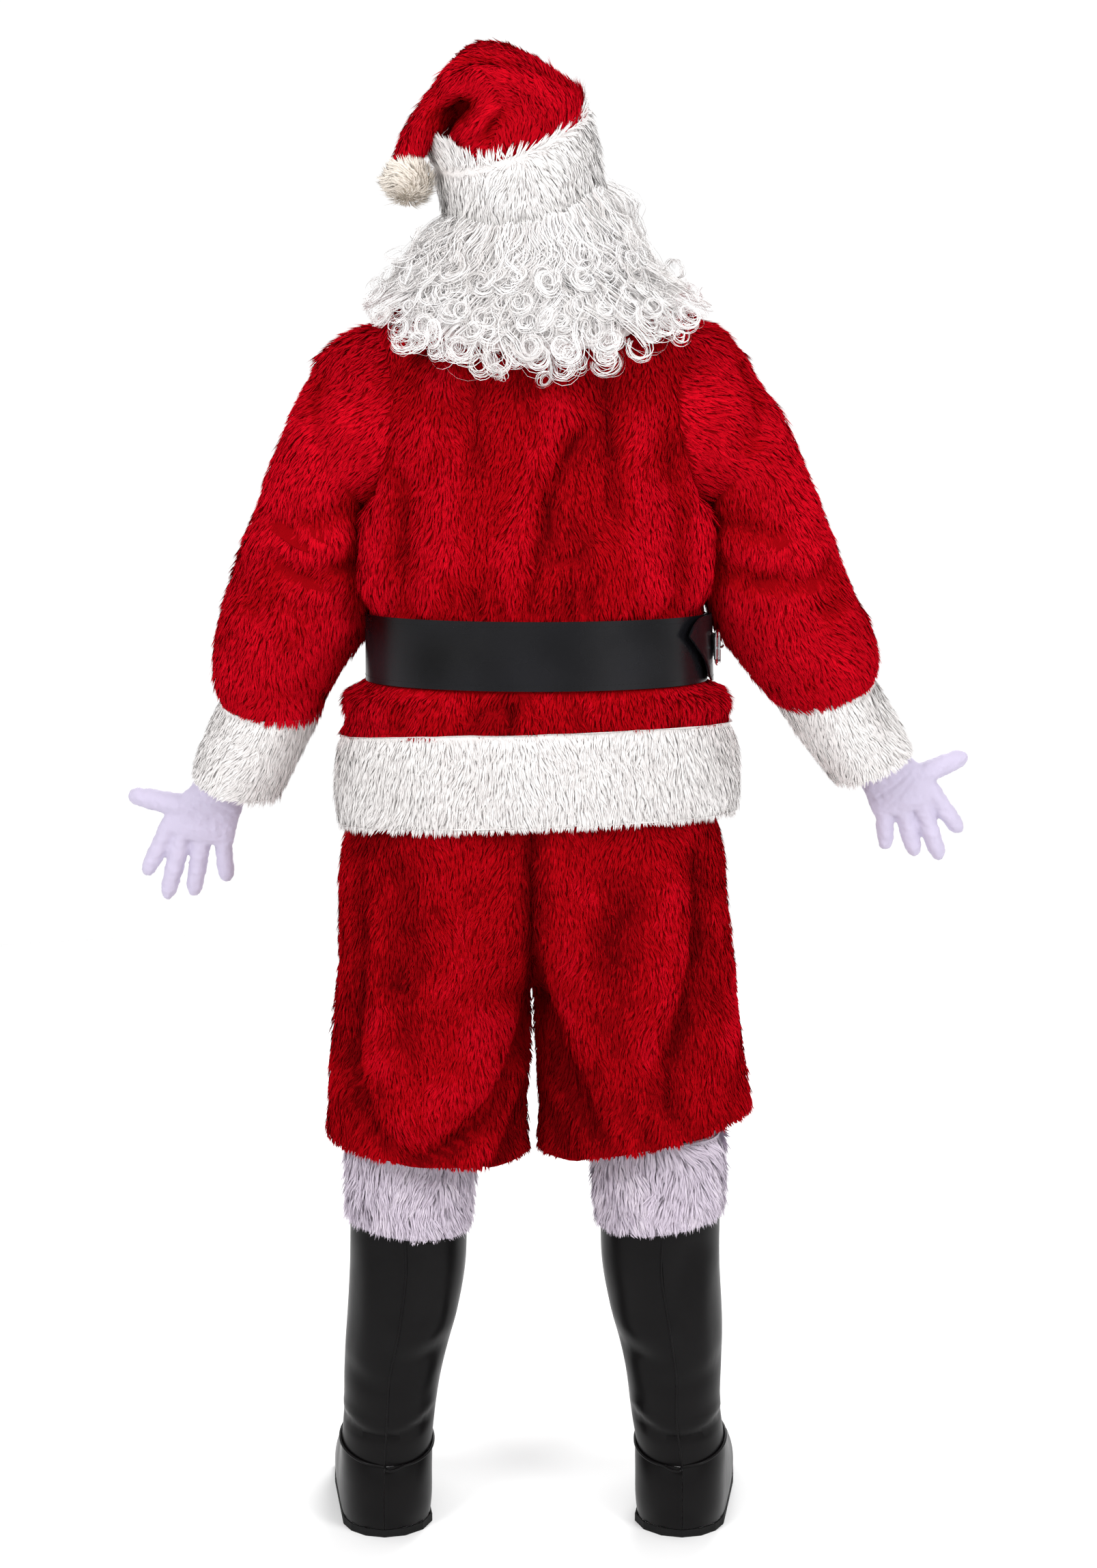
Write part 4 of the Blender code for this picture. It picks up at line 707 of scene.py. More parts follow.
RED = family(
    "red_pile",
    [(0.125, 0.0009, 0.0020), (0.215, 0.0012, 0.0030), (0.310, 0.0015, 0.0042),
     (0.395, 0.0020, 0.0075), (0.490, 0.0024, 0.0100)],
    0.75, 0.12, (1.0, 0.0, 0.02), 0.0,
)
WHITE = family(
    "white_pile",
    [(0.695, 0.665, 0.655), (0.73, 0.705, 0.695), (0.76, 0.74, 0.73), (0.785, 0.77, 0.765)],
    0.70, 0.12, (1.0, 1.0, 1.0),
)
COOL = family(
    "cool_pile",
    [(0.46, 0.40, 0.47), (0.54, 0.475, 0.56), (0.62, 0.55, 0.64), (0.70, 0.63, 0.71)],
    0.70, 0.15, (1.0, 1.0, 1.0),
)
CREAM = family(
    "cream_pile",
    [(0.60, 0.52, 0.45), (0.67, 0.60, 0.53), (0.73, 0.67, 0.60), (0.78, 0.74, 0.69)],
    0.70, 0.15, (1.0, 1.0, 0.95),
)
HAIR = family(
    "wig_hair",
    [(0.60, 0.57, 0.56), (0.71, 0.685, 0.675), (0.79, 0.77, 0.765), (0.85, 0.84, 0.84)],
    0.42, 0.10, (1.0, 1.0, 1.0),
)
RED_CLOTH = plain_material("red_backing", (0.220, 0.0011, 0.003), 0.9, gloss=0.0)
WHITE_CLOTH = plain_material("white_backing", (0.72, 0.69, 0.68), 0.9)
COOL_CLOTH = plain_material("cool_backing", (0.50, 0.44, 0.51), 0.9)
CREAM_CLOTH = plain_material("cream_backing", (0.60, 0.54, 0.46), 0.9)
HAIR_CLOTH = plain_material("hair_base", (0.56, 0.54, 0.53), 0.8)
for cloth in (RED_CLOTH, WHITE_CLOTH, COOL_CLOTH, CREAM_CLOTH, HAIR_CLOTH):
    bumped(cloth, 350.0, 0.001)
BELT_VINYL = plain_material("belt_vinyl", (0.0040, 0.0040, 0.0055), 0.30, gloss=0.24)
varied_roughness(BELT_VINYL, 9.0, 0.20, 0.34)
# The belt's colour carries painted highlights.
painted_highlights(BELT_VINYL, 7.0, (0.0006, 0.0006, 0.0010), (0.0090, 0.0090, 0.0110))
bumped(BELT_VINYL, 700.0, 0.0002, 0.5)
BOOT_VINYL = plain_material("boot_vinyl", (0.0034, 0.0030, 0.0032), 0.40, gloss=0.11)
varied_roughness(BOOT_VINYL, 18.0, 0.28, 0.40)
bumped(BOOT_VINYL, 40.0, 0.0006, 0.3)
THREAD = plain_material("black_thread", (0.004, 0.004, 0.004), 0.7)
varied_roughness(THREAD, 200.0, 0.6, 0.8)
ELASTIC = plain_material("elastic", (0.006, 0.006, 0.006), 0.85)
bumped(ELASTIC, 500.0, 0.0005, 1.0, (1, 1, 0.1))
CHROME = plain_material("chrome", (0.80, 0.80, 0.82), 0.12, 1.0)
varied_roughness(CHROME, 300.0, 0.08, 0.18)
NET = plain_material("wig_net", (0.55, 0.53, 0.50), 0.9)
bumped(NET, 600.0, 0.001)
GLOVE = plain_material("glove_cloth", (0.50, 0.455, 0.585), 0.85, 0.0, 0.15)
bumped(GLOVE, 900.0, 0.0003, 0.6, (1, 1, 0.6))


# ---------------------------------------------------------------- pile
# A coat is made of tufts, which gather in clumps. A SPREAD is the spread of a random draw.
SHORTEST_SHARE = 0.30  # of a tuft's length, where a fringe ends
FRINGE_UNEVEN = (0.65, 1.45)  # of the room left, how much a fringe's tufts take
CLUMP_PULL, CLUMP_PULL_MIDDLE = (0.10, 0.45), 0.15  # how far a clump's tufts lean to its head
TURN_SIZE, FINE_TURN_SIZE, TONE_SIZE = 0.13, 0.05, 0.06  # of the patches that lie or look alike
FINE_TURN_SHARE = 0.6
TURN_SPREAD, CLUMP_TURN_SPREAD, TWIST_SPREAD = 0.13, 0.15, 0.28  # radians
SIZE_SPREAD, LENGTHS, CLUMP_LENGTHS, WIDTHS = 0.12, (0.6, 1.35), (0.6, 1.4), (0.75, 1.3)  # shares of the coat's
RISE_SPREAD, RISES = 0.25, (0.3, 1.7)
BEND_AT, BEND_RISE = 0.42, 0.54  # of a tuft's length and of its rise, where it is widest
SHADED_AS_CLOTH, SHADED_AS_TUFT = 0.93, 0.13
SIDE_LIGHT_FROM, SIDE_LIGHT_FULL = 0.07, 0.20  # off the middle: where the painted light on the garment's sides starts and is full
# The last of these is painted shade at each tuft's root, in tones.
TONE_SPREAD, CLUMP_TONE_SPREAD, PATCH_TONE, ROOT_PAINTED_SHADE = 0.20, 0.15, 0.38, 0.25
RELIEF_PAINTED_SHADING, RELIEF_OF_A_TONE, RELIEF_SHADING_LIMITS = 1.1, 0.008, (-2.0, 0.8)  # painted light on ridges and painted shade in troughs
# A coat's tufts: how many there are to the square metre, their length, width and clumps in metres, how they
# rise as a share of their length, how far their lie wanders in radians, and their tone as a place in the
# fabric's tones, with the painted light that the garment's sides add to it.
Coat = namedtuple("Coat", "density length width rise clump wander tone side_tone", defaults=[2.0, 0.0])
PLUSH_COAT = Coat(120000, 0.0150, 0.0024, 0.24, 0.0050, 0.28, 1.9, 1.2)
# The breeches' tone is a little darker, as painted shade low on the suit, and the crown's tone lighter, as
# painted light on the hat.
BREECHES_COAT = PLUSH_COAT._replace(tone=1.8, side_tone=0.0)
CROWN_COAT = BREECHES_COAT._replace(density=175000, length=0.014, width=0.0020, clump=0.0045, tone=3.3)
TRIM_COAT = Coat(180000, 0.0175, 0.0021, 0.21, 0.0055, 0.26, 1.0)
BOOT_FUR_COAT = TRIM_COAT._replace(length=0.023, rise=0.40, clump=0.0085, wander=0.50, tone=2.2)
HAT_BAND_COAT = Coat(230000, 0.0165, 0.0018, 0.30, 0.0060, 0.30)
BOBBLE_COAT = Coat(420000, 0.0110, 0.0015, 0.75, 0.0050, 1.2)


def scattered(shell, density, rng, keep):
    """Roots spread evenly over the shell's outside, where keep holds, with their normals and relief."""
    quads = shell.faces[shell.outer]
    triangles = np.concatenate([quads[:, [0, 1, 2]], quads[:, [0, 2, 3]]])
    a, b, c = (shell.points[triangles[:, corner]] for corner in range(3))
    areas = np.linalg.norm(np.cross(b - a, c - a), axis=1) / 2
    total = np.cumsum(areas)
    count = int(total[-1] * density)
    picks = np.searchsorted(total, (np.arange(count) + rng.random(count)) / count * total[-1])
    picks = np.minimum(picks, len(triangles) - 1)
    u, v = rng.random((2, count, 1))
    u, v = np.where(u + v > 1, 1 - u, u), np.where(u + v > 1, 1 - v, v)
    shares = (1 - u - v, u, v)
    chosen = triangles[picks]
    roots = sum(share * shell.points[chosen[:, i]] for i, share in enumerate(shares))
    normals = unit(sum(share * shell.normals[chosen[:, i]] for i, share in enumerate(shares)))
    relief = sum(share[:, 0] * shell.relief[chosen[:, i]] for i, share in enumerate(shares))
    kept = keep(roots)
    return roots[kept], normals[kept], relief[kept]


def clumped(roots, size, density, rng):
    """For each root, the root that its clump gathers on."""
    count = max(1, int(len(roots) / (density * size**2)))
    heads = rng.choice(len(roots), count, replace=False)
    tree = tree_of(roots[heads])
    return heads[np.array([tree.find(root)[1] for root in roots])]


def everywhere(roots):
    return np.ones(len(roots), bool)


def unbounded(roots):
    return np.full(len(roots), 1.0)


def varied(rng, spread, limits, count):
    """Shares of a size, mostly near 1."""
    return np.clip(1 + rng.normal(0, spread, count), *limits)


def grow(name, shell, coat, tones, lie, seed, keep=everywhere, room=unbounded):
    """A coat of pile: each tuft is a narrow kite from its root to its tip. room tells how far each root is from
    where the fringe ends."""
    rng = np.random.default_rng(seed)
    roots, normals, relief = scattered(shell, coat.density, rng, keep)
    count = len(roots)
    flow = lie(roots)
    flow = unit(flow - normals * dots(flow, normals)[:, None])
    turning = coat.wander * waves(roots, seed + 2, TURN_SIZE)
    turning = turning + FINE_TURN_SHARE * coat.wander * waves(roots, seed + 3, FINE_TURN_SIZE)
    flow = spun(flow, normals, turning + rng.normal(0, TURN_SPREAD, count))
    heads = clumped(roots, coat.clump, coat.density, rng)
    head_turn = rng.normal(0, CLUMP_TURN_SPREAD, count)[heads]
    head_size = varied(rng, SIZE_SPREAD, CLUMP_LENGTHS, count)[heads]
    flow = spun(flow, normals, head_turn)
    length = coat.length * head_size * varied(rng, SIZE_SPREAD, LENGTHS, count)
    length *= np.clip(room(roots) * rng.uniform(*FRINGE_UNEVEN, count) / length, SHORTEST_SHARE, 1.0)
    rise = coat.rise * varied(rng, RISE_SPREAD, RISES, count)
    middles = roots + flow * (BEND_AT * length)[:, None] + normals * (BEND_RISE * length * rise)[:, None]
    tips = roots + flow * length[:, None] + normals * (length * rise)[:, None]
    tips += (tips[heads] - tips) * rng.uniform(*CLUMP_PULL, count)[:, None]
    middles += (middles[heads] - middles) * CLUMP_PULL_MIDDLE
    side = spun(np.cross(flow, normals), flow, rng.normal(0, TWIST_SPREAD, count))
    half = side * (coat.width / 2 * rng.uniform(*WIDTHS, count))[:, None]
    points = np.stack([roots, middles - half, middles + half, tips], axis=1).reshape(-1, 3)
    first = 4 * np.arange(count)
    faces = np.stack([first + corner for corner in (0, 1, 2, 1, 3, 2)], axis=1).reshape(-1, 3)
    a, b, c = (points[faces[:, corner]] for corner in range(3))
    across = np.cross(b - a, c - a)
    owner = np.repeat(normals, 2, axis=0)
    inward = dots(across, owner) < 0
    faces[inward] = faces[inward][:, ::-1]
    across = unit(np.where(inward[:, None], -across, across)).reshape(count, 2, 3)
    shading = unit(normals * SHADED_AS_CLOTH + across.mean(axis=1) * SHADED_AS_TUFT)
    shading = np.repeat(shading, 4, axis=0)
    head_tone = rng.normal(0, CLUMP_TONE_SPREAD, count)[heads]
    # The garment's sides are made lighter: painted light.
    side_tone = coat.side_tone * eased(SIDE_LIGHT_FROM, SIDE_LIGHT_FULL, np.abs(roots[:, 0]))
    tone = coat.tone + side_tone + head_tone
    tone += rng.normal(0, TONE_SPREAD, count) + PATCH_TONE * waves(roots, seed + 4, TONE_SIZE)
    # Painted light on the folds' ridges and painted shade in their troughs.
    tone += np.clip(relief / RELIEF_OF_A_TONE, *RELIEF_SHADING_LIMITS) * RELIEF_PAINTED_SHADING
    # Each tuft's root half is darker than its tip: painted shade at the roots.
    index = np.stack([tone - ROOT_PAINTED_SHADE, tone], axis=1).ravel()
    index = np.clip(np.round(index), 0, len(tones) - 1).astype(int)
    return object_of(name, points, faces, tones, None, index, shading)


def lay_sheet(node):
    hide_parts(node)


Fabric = namedtuple("Fabric", "slot backing tones")
PLUSH = Fabric("red_plush", RED_CLOTH, RED)
WHITE_FUR = Fabric("white_fur", WHITE_CLOTH, WHITE)
COOL_FUR = Fabric("cool_white_fur", COOL_CLOTH, COOL)


def furred(node, fabric, shell, coat, lie, seed, keep=everywhere, room=unbounded):
    """A cloth piece and the pile on it."""
    piece = object_of(node + "_cloth", shell.points, shell.faces, [fabric.backing], 50)
    pile = grow(node + "_pile", shell, coat, fabric.tones, lie, seed, keep, room)
    lay_sheet(node)


def clear_of_belt(roots):
    height = above_ground(roots)
    return (height < BELT_BOTTOM + 0.001) | (height > BELT_TOP - 0.001)


def below_hem(roots):
    return above_ground(roots) < HEM_BAND_BOTTOM + 0.045


def room_above_band(roots):
    """From the jacket's plush down to its fringe over the hem band."""
    room = above_ground(roots) - hem_rise(roots) - (HEM_BAND_TOP - 0.003)
    return np.where(above_ground(roots) > BELT_BOTTOM + 0.03, 1.0, room)  # 1 m stands for no end


def room_in_band(roots):
    return above_ground(roots) - hem_rise(roots) - (HEM_BAND_BOTTOM - 0.006)


def room_to_plane(row, ahead, over):
    """Along a sleeve or a hat, to a plane that faces ahead through a point of its middle line."""
    middle, facing = np.array(row) + UP * GROUND, unit(np.array(ahead))
    return lambda roots: dots(middle - roots, facing) + over


def room_to_slope(ends, over):
    """Down to a slanting lower edge, given by two places (x, height)."""
    (x1, z1), (x2, z2) = ends
    return lambda roots: above_ground(roots) - (z1 + (z2 - z1) * (roots[:, 0] - x1) / (x2 - x1)) + over


TRIM_INSET = 0.008
PLUSH_DRAPE, BREECHES_DRAPE, TRIM_DRAPE = 0.0022, 0.0026, 0.0012
CROWN_DRAPE, HAT_BAND_DRAPE, HAT_BAND_INSET = 0.0014, 0.0015, 0.007
JACKET_SEED = 40  # the hem band drapes as the jacket under it does


def build_jacket():
    for number, side in enumerate(("left", "right")):
        for face in ("back", "front"):
            shell = shell_of(f"jacket_{face}_{side}", 2, torso_middle, PLUSH_INSET, JACKET_BACK, JACKET_FRONT,
                             PLUSH_DRAPE, JACKET_SEED, held=swell_sides)
            furred(f"jacket_{face}_{side}", PLUSH, shell, PLUSH_COAT, pile_down,
                   100 + 10 * number + (face == "back"), clear_of_belt, room_above_band)
        middle, along = line_middle(SLEEVE_LINES[side]), pile_along(SLEEVE_LINES[side])
        shell = shell_of(f"sleeve_{side}", 2, middle, 0.001, SLEEVES_BACK, SLEEVES_FRONT, PLUSH_DRAPE, 50,
                         held=follow_armhole)
        furred(f"sleeve_{side}", PLUSH, shell, PLUSH_COAT, along, 140 + number,
               room=room_to_plane(*SLEEVE_ENDS[side], 0.006))
        shell = shell_of(f"cuff_{side}", 2, middle, TRIM_INSET, drape=TRIM_DRAPE, seed=60, outer_only=True)
        furred(f"cuff_{side}", WHITE_FUR, shell, TRIM_COAT, along, 160 + number,
               room=room_to_plane(*CUFF_ENDS[side], 0.005))
        shell = shell_of(f"hem_band_{side}", 2, torso_middle, TRIM_INSET, drape=PLUSH_DRAPE, seed=JACKET_SEED,
                         outer_only=True)
        furred(f"hem_band_{side}", WHITE_FUR, shell, TRIM_COAT, pile_down, 180 + number,
               room=room_in_band)


def build_breeches():
    for number, side in enumerate(("left", "right")):
        for face in ("back", "front"):
            shell = shell_of(f"breeches_{face}_{side}", 2, leg_middle, BREECHES_INSET, BREECHES_BACK,
                             BREECHES_FRONT, BREECHES_DRAPE, 70, held=seat_seam_shut)
            furred(f"breeches_{face}_{side}", PLUSH, shell, BREECHES_COAT, pile_down,
                   200 + 10 * number + (face == "back"), below_hem,
                   room_to_slope(BREECHES_HEMS[side], 0.004))


def build_hat():
    for number, face in enumerate(("back", "front")):
        shell = shell_of(f"hat_crown_{face}", 2, hat_middle, CROWN_INSET, HAT_FOLDS_BACK, HAT_FOLDS_FRONT,
                         CROWN_DRAPE, 80, held=crown_tucked_in)
        furred(f"hat_crown_{face}", PLUSH, shell, CROWN_COAT, pile_along(HAT_LINE), 240 + number)
    shell = shell_of("hat_band", 2, line_middle(HAT_BAND_LINE), HAT_BAND_INSET, drape=HAT_BAND_DRAPE, seed=90,
                     outer_only=True, held=band_pushed_up)
    furred("hat_band", WHITE_FUR, shell, HAT_BAND_COAT, pile_hat_band, 250)
    points, faces = ball(BOBBLE_CENTRE, BOBBLE_RADIUS - BOBBLE_PILE)
    outward = unit(points - BOBBLE_CENTRE)
    shell = Shell(points, faces, outward, outward, np.zeros(len(points)), np.ones(len(faces), bool))
    piece = object_of("hat_bobble_ball", points, faces, [CREAM_CLOTH])
    pile = grow("hat_bobble_pile", shell, BOBBLE_COAT, CREAM, pile_bobble, 260)
    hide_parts("hat_bobble")


def ball(centre, radius):
    """A ball of four-sided faces, as a cube blown round."""
    work = bmesh.new()
    bmesh.ops.create_cube(work, size=2.0)
    bmesh.ops.subdivide_edges(work, edges=work.edges, cuts=7, use_grid_fill=True)
    points = unit(np.array([v.co[:] for v in work.verts])) * radius + centre
    faces = np.array([[v.index for v in face.verts] for face in work.faces])
    work.free()
    return points, faces


# ---------------------------------------------------------------- belt, buckle and boots
STITCH_PITCH, STITCH_LENGTH, STITCH_WIDTH = 0.0050, 0.0034, 0.0006
STITCH_IN, STITCH_LIFT = 0.0065, 0.0004  # from the strap's edge, and off its face
STITCH_SEARCH = 0.01  # radians, to look for the strap again where it leaves a gap


def build_belt():
    points, faces = refined("belt_strap", 2)
    strap = object_of("belt_strap_vinyl", points, faces, [BELT_VINYL], 40)
    lay_sheet("belt_strap")
    rows, corners = [], []
    for hit, normal in stitch_spots(BVHTree.FromPolygons(points.tolist(), faces.tolist())):
        along = normal.cross(Vector((0, 0, 1))).normalized() * (STITCH_LENGTH / 2)
        up = Vector((0, 0, STITCH_WIDTH / 2))
        lift = normal * STITCH_LIFT
        first = len(rows)
        rows += [hit - along, hit + up + lift, hit + along, hit - up + lift]
        corners.append([first, first + 3, first + 2, first + 1])
    stitches = object_of("belt_stitches", np.array([p[:] for p in rows]), np.array(corners), [THREAD])


def stitch_spots(tree):
    """Places round the strap near both edges, a stitch's pitch apart, and how the strap faces there."""
    spots = []
    for height in (BELT_BOTTOM + STITCH_IN, BELT_TOP - STITCH_IN):
        turn = 0.0
        while turn < 2 * math.pi:
            outward = Vector((math.sin(turn), -math.cos(turn), 0))
            hit, normal, _, _ = tree.ray_cast(Vector((0, 0, height + GROUND)) + outward, -outward, 1.0)
            if hit is not None:
                spots.append((hit, normal))
                turn += STITCH_PITCH / max(0.1, Vector((hit.x, hit.y)).length)
            else:
                turn += STITCH_SEARCH
    return spots


CORD_RADIUS, ANKLE_CORD_RADIUS, CORD_SIDES = 0.0015, 0.0020, 6
SEAM_REACH, SEAM_SUNK = 0.0016, 0.0002
SEAM_PITCH, ANKLE_PITCH = 0.012, 0.12  # metres down the leg, and radians round it
ASKEW = (0.3, 1.0, 0.2)  # a way that no cord runs


def corners_of(node):
    return read(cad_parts[node].data.vertices, "co", 3)


def seam_between(first, second, middle, order, apart):
    """The outside of the seam where two pieces meet, as points in order. Those closer than apart are one."""
    theirs = corners_of(second)
    tree = tree_of(theirs)
    met = [(point + theirs[number]) / 2 for point in corners_of(first)
           for _, number, gap in [tree.find(point)] if gap < SEAM_REACH]
    met = np.array(met)
    reach = np.linalg.norm((met - middle(met)) * LEVEL, axis=1)
    keys = order(met)
    line, last, furthest = [], -math.inf, 0.0
    for number in np.argsort(keys):
        if keys[number] - last > apart:
            line.append(met[number])
            furthest = reach[number]
        elif reach[number] > furthest:
            line[-1], furthest = met[number], reach[number]
        last = keys[number]
    return np.array(line)


def rounded(points, steps=6):
    """A smooth line through points."""
    padded = np.concatenate([[2 * points[0] - points[1]], points, [2 * points[-1] - points[-2]]])
    line = []
    for p0, p1, p2, p3 in zip(padded, padded[1:], padded[2:], padded[3:]):
        for t in np.arange(steps) / steps:
            line.append(0.5 * (2 * p1 + (p2 - p0) * t + (2 * p0 - 5 * p1 + 4 * p2 - p3) * t**2
                               + (3 * p1 - p0 - 3 * p2 + p3) * t**3))
    return np.array(line + [points[-1]])


def cord(name, line, radius):
    """A thin round vinyl cord along a line."""
    heading = unit(np.gradient(line, axis=0))
    side = unit(np.cross(heading, ASKEW))
    other = np.cross(side, heading)
    turns = 2 * math.pi * np.arange(CORD_SIDES) / CORD_SIDES
    rings = line[:, None] + radius * (
        side[:, None] * np.cos(turns)[None, :, None] + other[:, None] * np.sin(turns)[None, :, None])
    first = CORD_SIDES * np.arange(len(line) - 1)[:, None]
    j, k = np.arange(CORD_SIDES)[None], (np.arange(CORD_SIDES)[None] + 1) % CORD_SIDES
    faces = np.stack([first + j, first + k, first + CORD_SIDES + k, first + CORD_SIDES + j], axis=-1)
    made = object_of(name, rings.reshape(-1, 3), faces.reshape(-1, 4), [BOOT_VINYL])


def sew_boot(side, middle):
    def round_leg(points):
        across = points - middle(points)
        return np.arctan2(across[:, 0], -across[:, 1])

    inner, outer = f"boot_shaft_inner_{side}", f"boot_shaft_outer_{side}"
    # Two metres stand between the keys of the back seam's points and the front seam's.
    upright = seam_between(inner, outer, middle, lambda p: p[:, 2] + 2.0 * (p[:, 1] > middle(p)[:, 1]),
                           SEAM_PITCH)
    behind = upright[:, 1] < middle(upright)[:, 1]
    for place, line in (("back", upright[behind]), ("front", upright[~behind])):
        line = rounded(line)
        outward = unit((line - middle(line)) * LEVEL)
        line = line + outward * (fold_field(line, outward, BOOT_FOLDS, BOOT_FOLDS) - SEAM_SUNK)[:, None]
        cord(f"boot_seam_{place}_{side}", line, CORD_RADIUS)
    for place, shaft in (("inner", inner), ("outer", outer)):
        ankle = seam_between(shaft, shaft.replace("shaft", "foot"), middle, round_leg, ANKLE_PITCH)
        cord(f"boot_ankle_seam_{place}_{side}", rounded(ankle), ANKLE_CORD_RADIUS)


def build_boots():
    for side in ("left", "right"):
        middle = line_middle(BOOT_LINES[side])
        sew_boot(side, middle)
        shell = shell_of(f"boot_fur_{side}", 2, middle, TRIM_INSET, drape=TRIM_DRAPE, seed=95, outer_only=True)
        furred(f"boot_fur_{side}", COOL_FUR, shell, BOOT_FUR_COAT, pile_down,
               280 + (side == "left"),
               room=room_to_slope(BOOT_FUR_EDGES[side], 0.002))
        for place in ("inner", "outer"):
            for part in ("shaft", "foot"):
                node = f"boot_{part}_{place}_{side}"
                shell = shell_of(node, 3, middle, 0.0, BOOT_FOLDS, BOOT_FOLDS)
                piece = object_of(node + "_vinyl", shell.points, shell.faces, [BOOT_VINYL], 40)
                lay_sheet(node)


# ---------------------------------------------------------------- wig
HAIR_LOCKS = 270
LOCK_STRANDS = 12
STRAND_POINTS = 27
WAVE_POINTS = 13
WISPS, WISP_SPREAD = 2, 2.6  # strands of each lock that stray from it
HAIR_TURN = 116.0  # degrees from the back to the hair's front edge
STRAND_WIDTH = 0.0009
LONGEST_STEP = 0.045  # a guide that jumps further has left the hair's outside
HAIR_MIDDLE_X = -0.008
HAIR_END, HAIR_LOWER_BEHIND = 1.545, 0.095
LAYER_ENDS = (0.012, 0.050, 0.088)  # how far above the hair's ends each layer of locks curls, for a length of:
LAYER_LENGTH = 0.16
BASE_INSET, BASE_INSET_AT_ENDS, BASE_LIFT_AT_ENDS, BASE_ENDS = 0.007, 0.011, 0.024, 0.035
DRAWN_IN_HEIGHTS, DRAWN_IN_RIGHT, DRAWN_IN_LEFT = (1.530, 1.560, 1.630, 1.656), 0.18, 0.14
HANGS_OFF_RIGHT, HANGS_OFF_LEFT = 0.010, 0.002
LOCK_RADIUS = 0.0065
LOCK_TAPER, LOCK_LEAST, LOCK_SWELL, LOCK_SWELLS_EARLY = 0.62, 0.75, 0.5, 1.3  # a lock's radius on its way down
SPREAD_ASIDE, SPREAD_OUT, LOCK_FLATNESS = 0.80, 0.60, 0.55  # of a lock's strands
FRIZZ, FRIZZ_PACES, STRAY = 0.0011, (10, 30), 0.0010  # metres, radians in a lock's length, and metres
STRAND_WIDTHS, STRAND_TAPER, STRAND_SHADING = (0.6, 1.3), 0.6, 0.5
HAIR_TONE, LOCK_TONE_SPREAD, STRAND_TONE_SPREAD = 1.9, 0.5, 0.7  # places among HAIR's tones
ENDS_SPREAD, SHORTEST_LOCK, STARTS_SPREAD = 0.006, 0.030, 0.02
LOCK_LIFT, LAYER_LIFT, LIFTS_SPREAD, LIFT_WAVE = 0.001, 0.0035, 0.003, 0.004  # off the hair's outside
GATHERED = 0.82  # of its turn, where a lock starts under the hat
HAIR_TOP, HAIR_TOP_HIGHER_RIGHT, HAIR_TOP_LOWER_BEHIND = 1.655, 0.017, 0.040
SWINGS, WAVES_DOWN = (2.6, 6.0), (1.1, 2.2)  # degrees to a side, and waves in a lock's length
CURL_RADII, CURL_TURNS, CURL_SHRINKS = (0.009, 0.0175), (1.3, 2.3), 0.28  # metres, half turns, share in a turn
CURL_TILT_SPREAD, CURL_RISE, CURL_SHADING = 0.35, 0.004, 0.5  # radians, and metres in half a turn


def ribbons(name, paths, normals, widths, tone_index):
    """Flat strands of hair along paths (strand, point, axis)."""
    strands, steps, _ = paths.shape
    headings = unit(np.gradient(paths, axis=1))
    side = unit(np.cross(headings, normals)) * (widths / 2)[..., None]
    points = np.stack([paths - side, paths + side], axis=2).reshape(-1, 3)
    first = (np.arange(strands)[:, None] * steps + np.arange(steps - 1)[None, :]) * 2
    faces = np.stack([first, first + 1, first + 3, first + 2], axis=-1).reshape(-1, 4)
    index = np.repeat(tone_index, steps - 1)
    shading = np.repeat(unit(normals), 2, axis=1).reshape(-1, 3)
    return object_of(name, points, faces, HAIR, None, index, shading)


def hair_ends(behind):
    """How low the hair reaches, from the cosine of the turn from the back."""
    return HAIR_END - HAIR_LOWER_BEHIND * behind**1.2


def drawn_in(points):
    """The hair lies closer to the head at its sides than the fringe reaches."""
    share = np.where(points[:, 0] > 0, DRAWN_IN_RIGHT, DRAWN_IN_LEFT)
    share = share * between(*DRAWN_IN_HEIGHTS, above_ground(points))
    return points - np.array([1.0, 0.0, 0.0]) * ((points[:, 0] - HAIR_MIDDLE_X) * share)[:, None]


def build_hair_bases():
    """The cloth that the hair is sewn on, a little inside the hair's outside. It returns that outside."""
    outsides = []
    for node in ("wig_hair_left", "wig_hair_back", "wig_hair_right"):
        points, faces = refined(node, 2)
        points = drawn_in(points)
        outward = unit(points * LEVEL)
        behind = np.maximum(0.0, -outward[:, 1])
        tucked = 1 - eased(0.0, BASE_ENDS, above_ground(points) - hair_ends(behind))
        inset = points - outward * (BASE_INSET + BASE_INSET_AT_ENDS * tucked)[:, None]
        inset = inset + UP * (BASE_LIFT_AT_ENDS * tucked)[:, None]
        piece = object_of(node + "_base", inset, faces, [HAIR_CLOTH], 60)
        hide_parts(node)
        outsides.append((points, faces))
    starts = np.cumsum([0] + [len(points) for points, _ in outsides])
    points = np.concatenate([points for points, _ in outsides])
    faces = np.concatenate([faces + start for (_, faces), start in zip(outsides, starts)])
    return BVHTree.FromPolygons(points.tolist(), faces.tolist())


def hair_surface(tree, turn, height):
    """The hair's outside at a turn in degrees from the back, and how it faces."""
    angle = math.radians(turn)
    outward = Vector((math.sin(angle), -math.cos(angle), 0))
    start = Vector((HAIR_MIDDLE_X, 0, height + GROUND)) + outward * 0.5
    hit, normal, _, _ = tree.ray_cast(start, -outward, 0.5)
    if hit is None:
        return None, None
    return np.array(hit), np.array(normal if normal.dot(outward) > 0 else -normal)


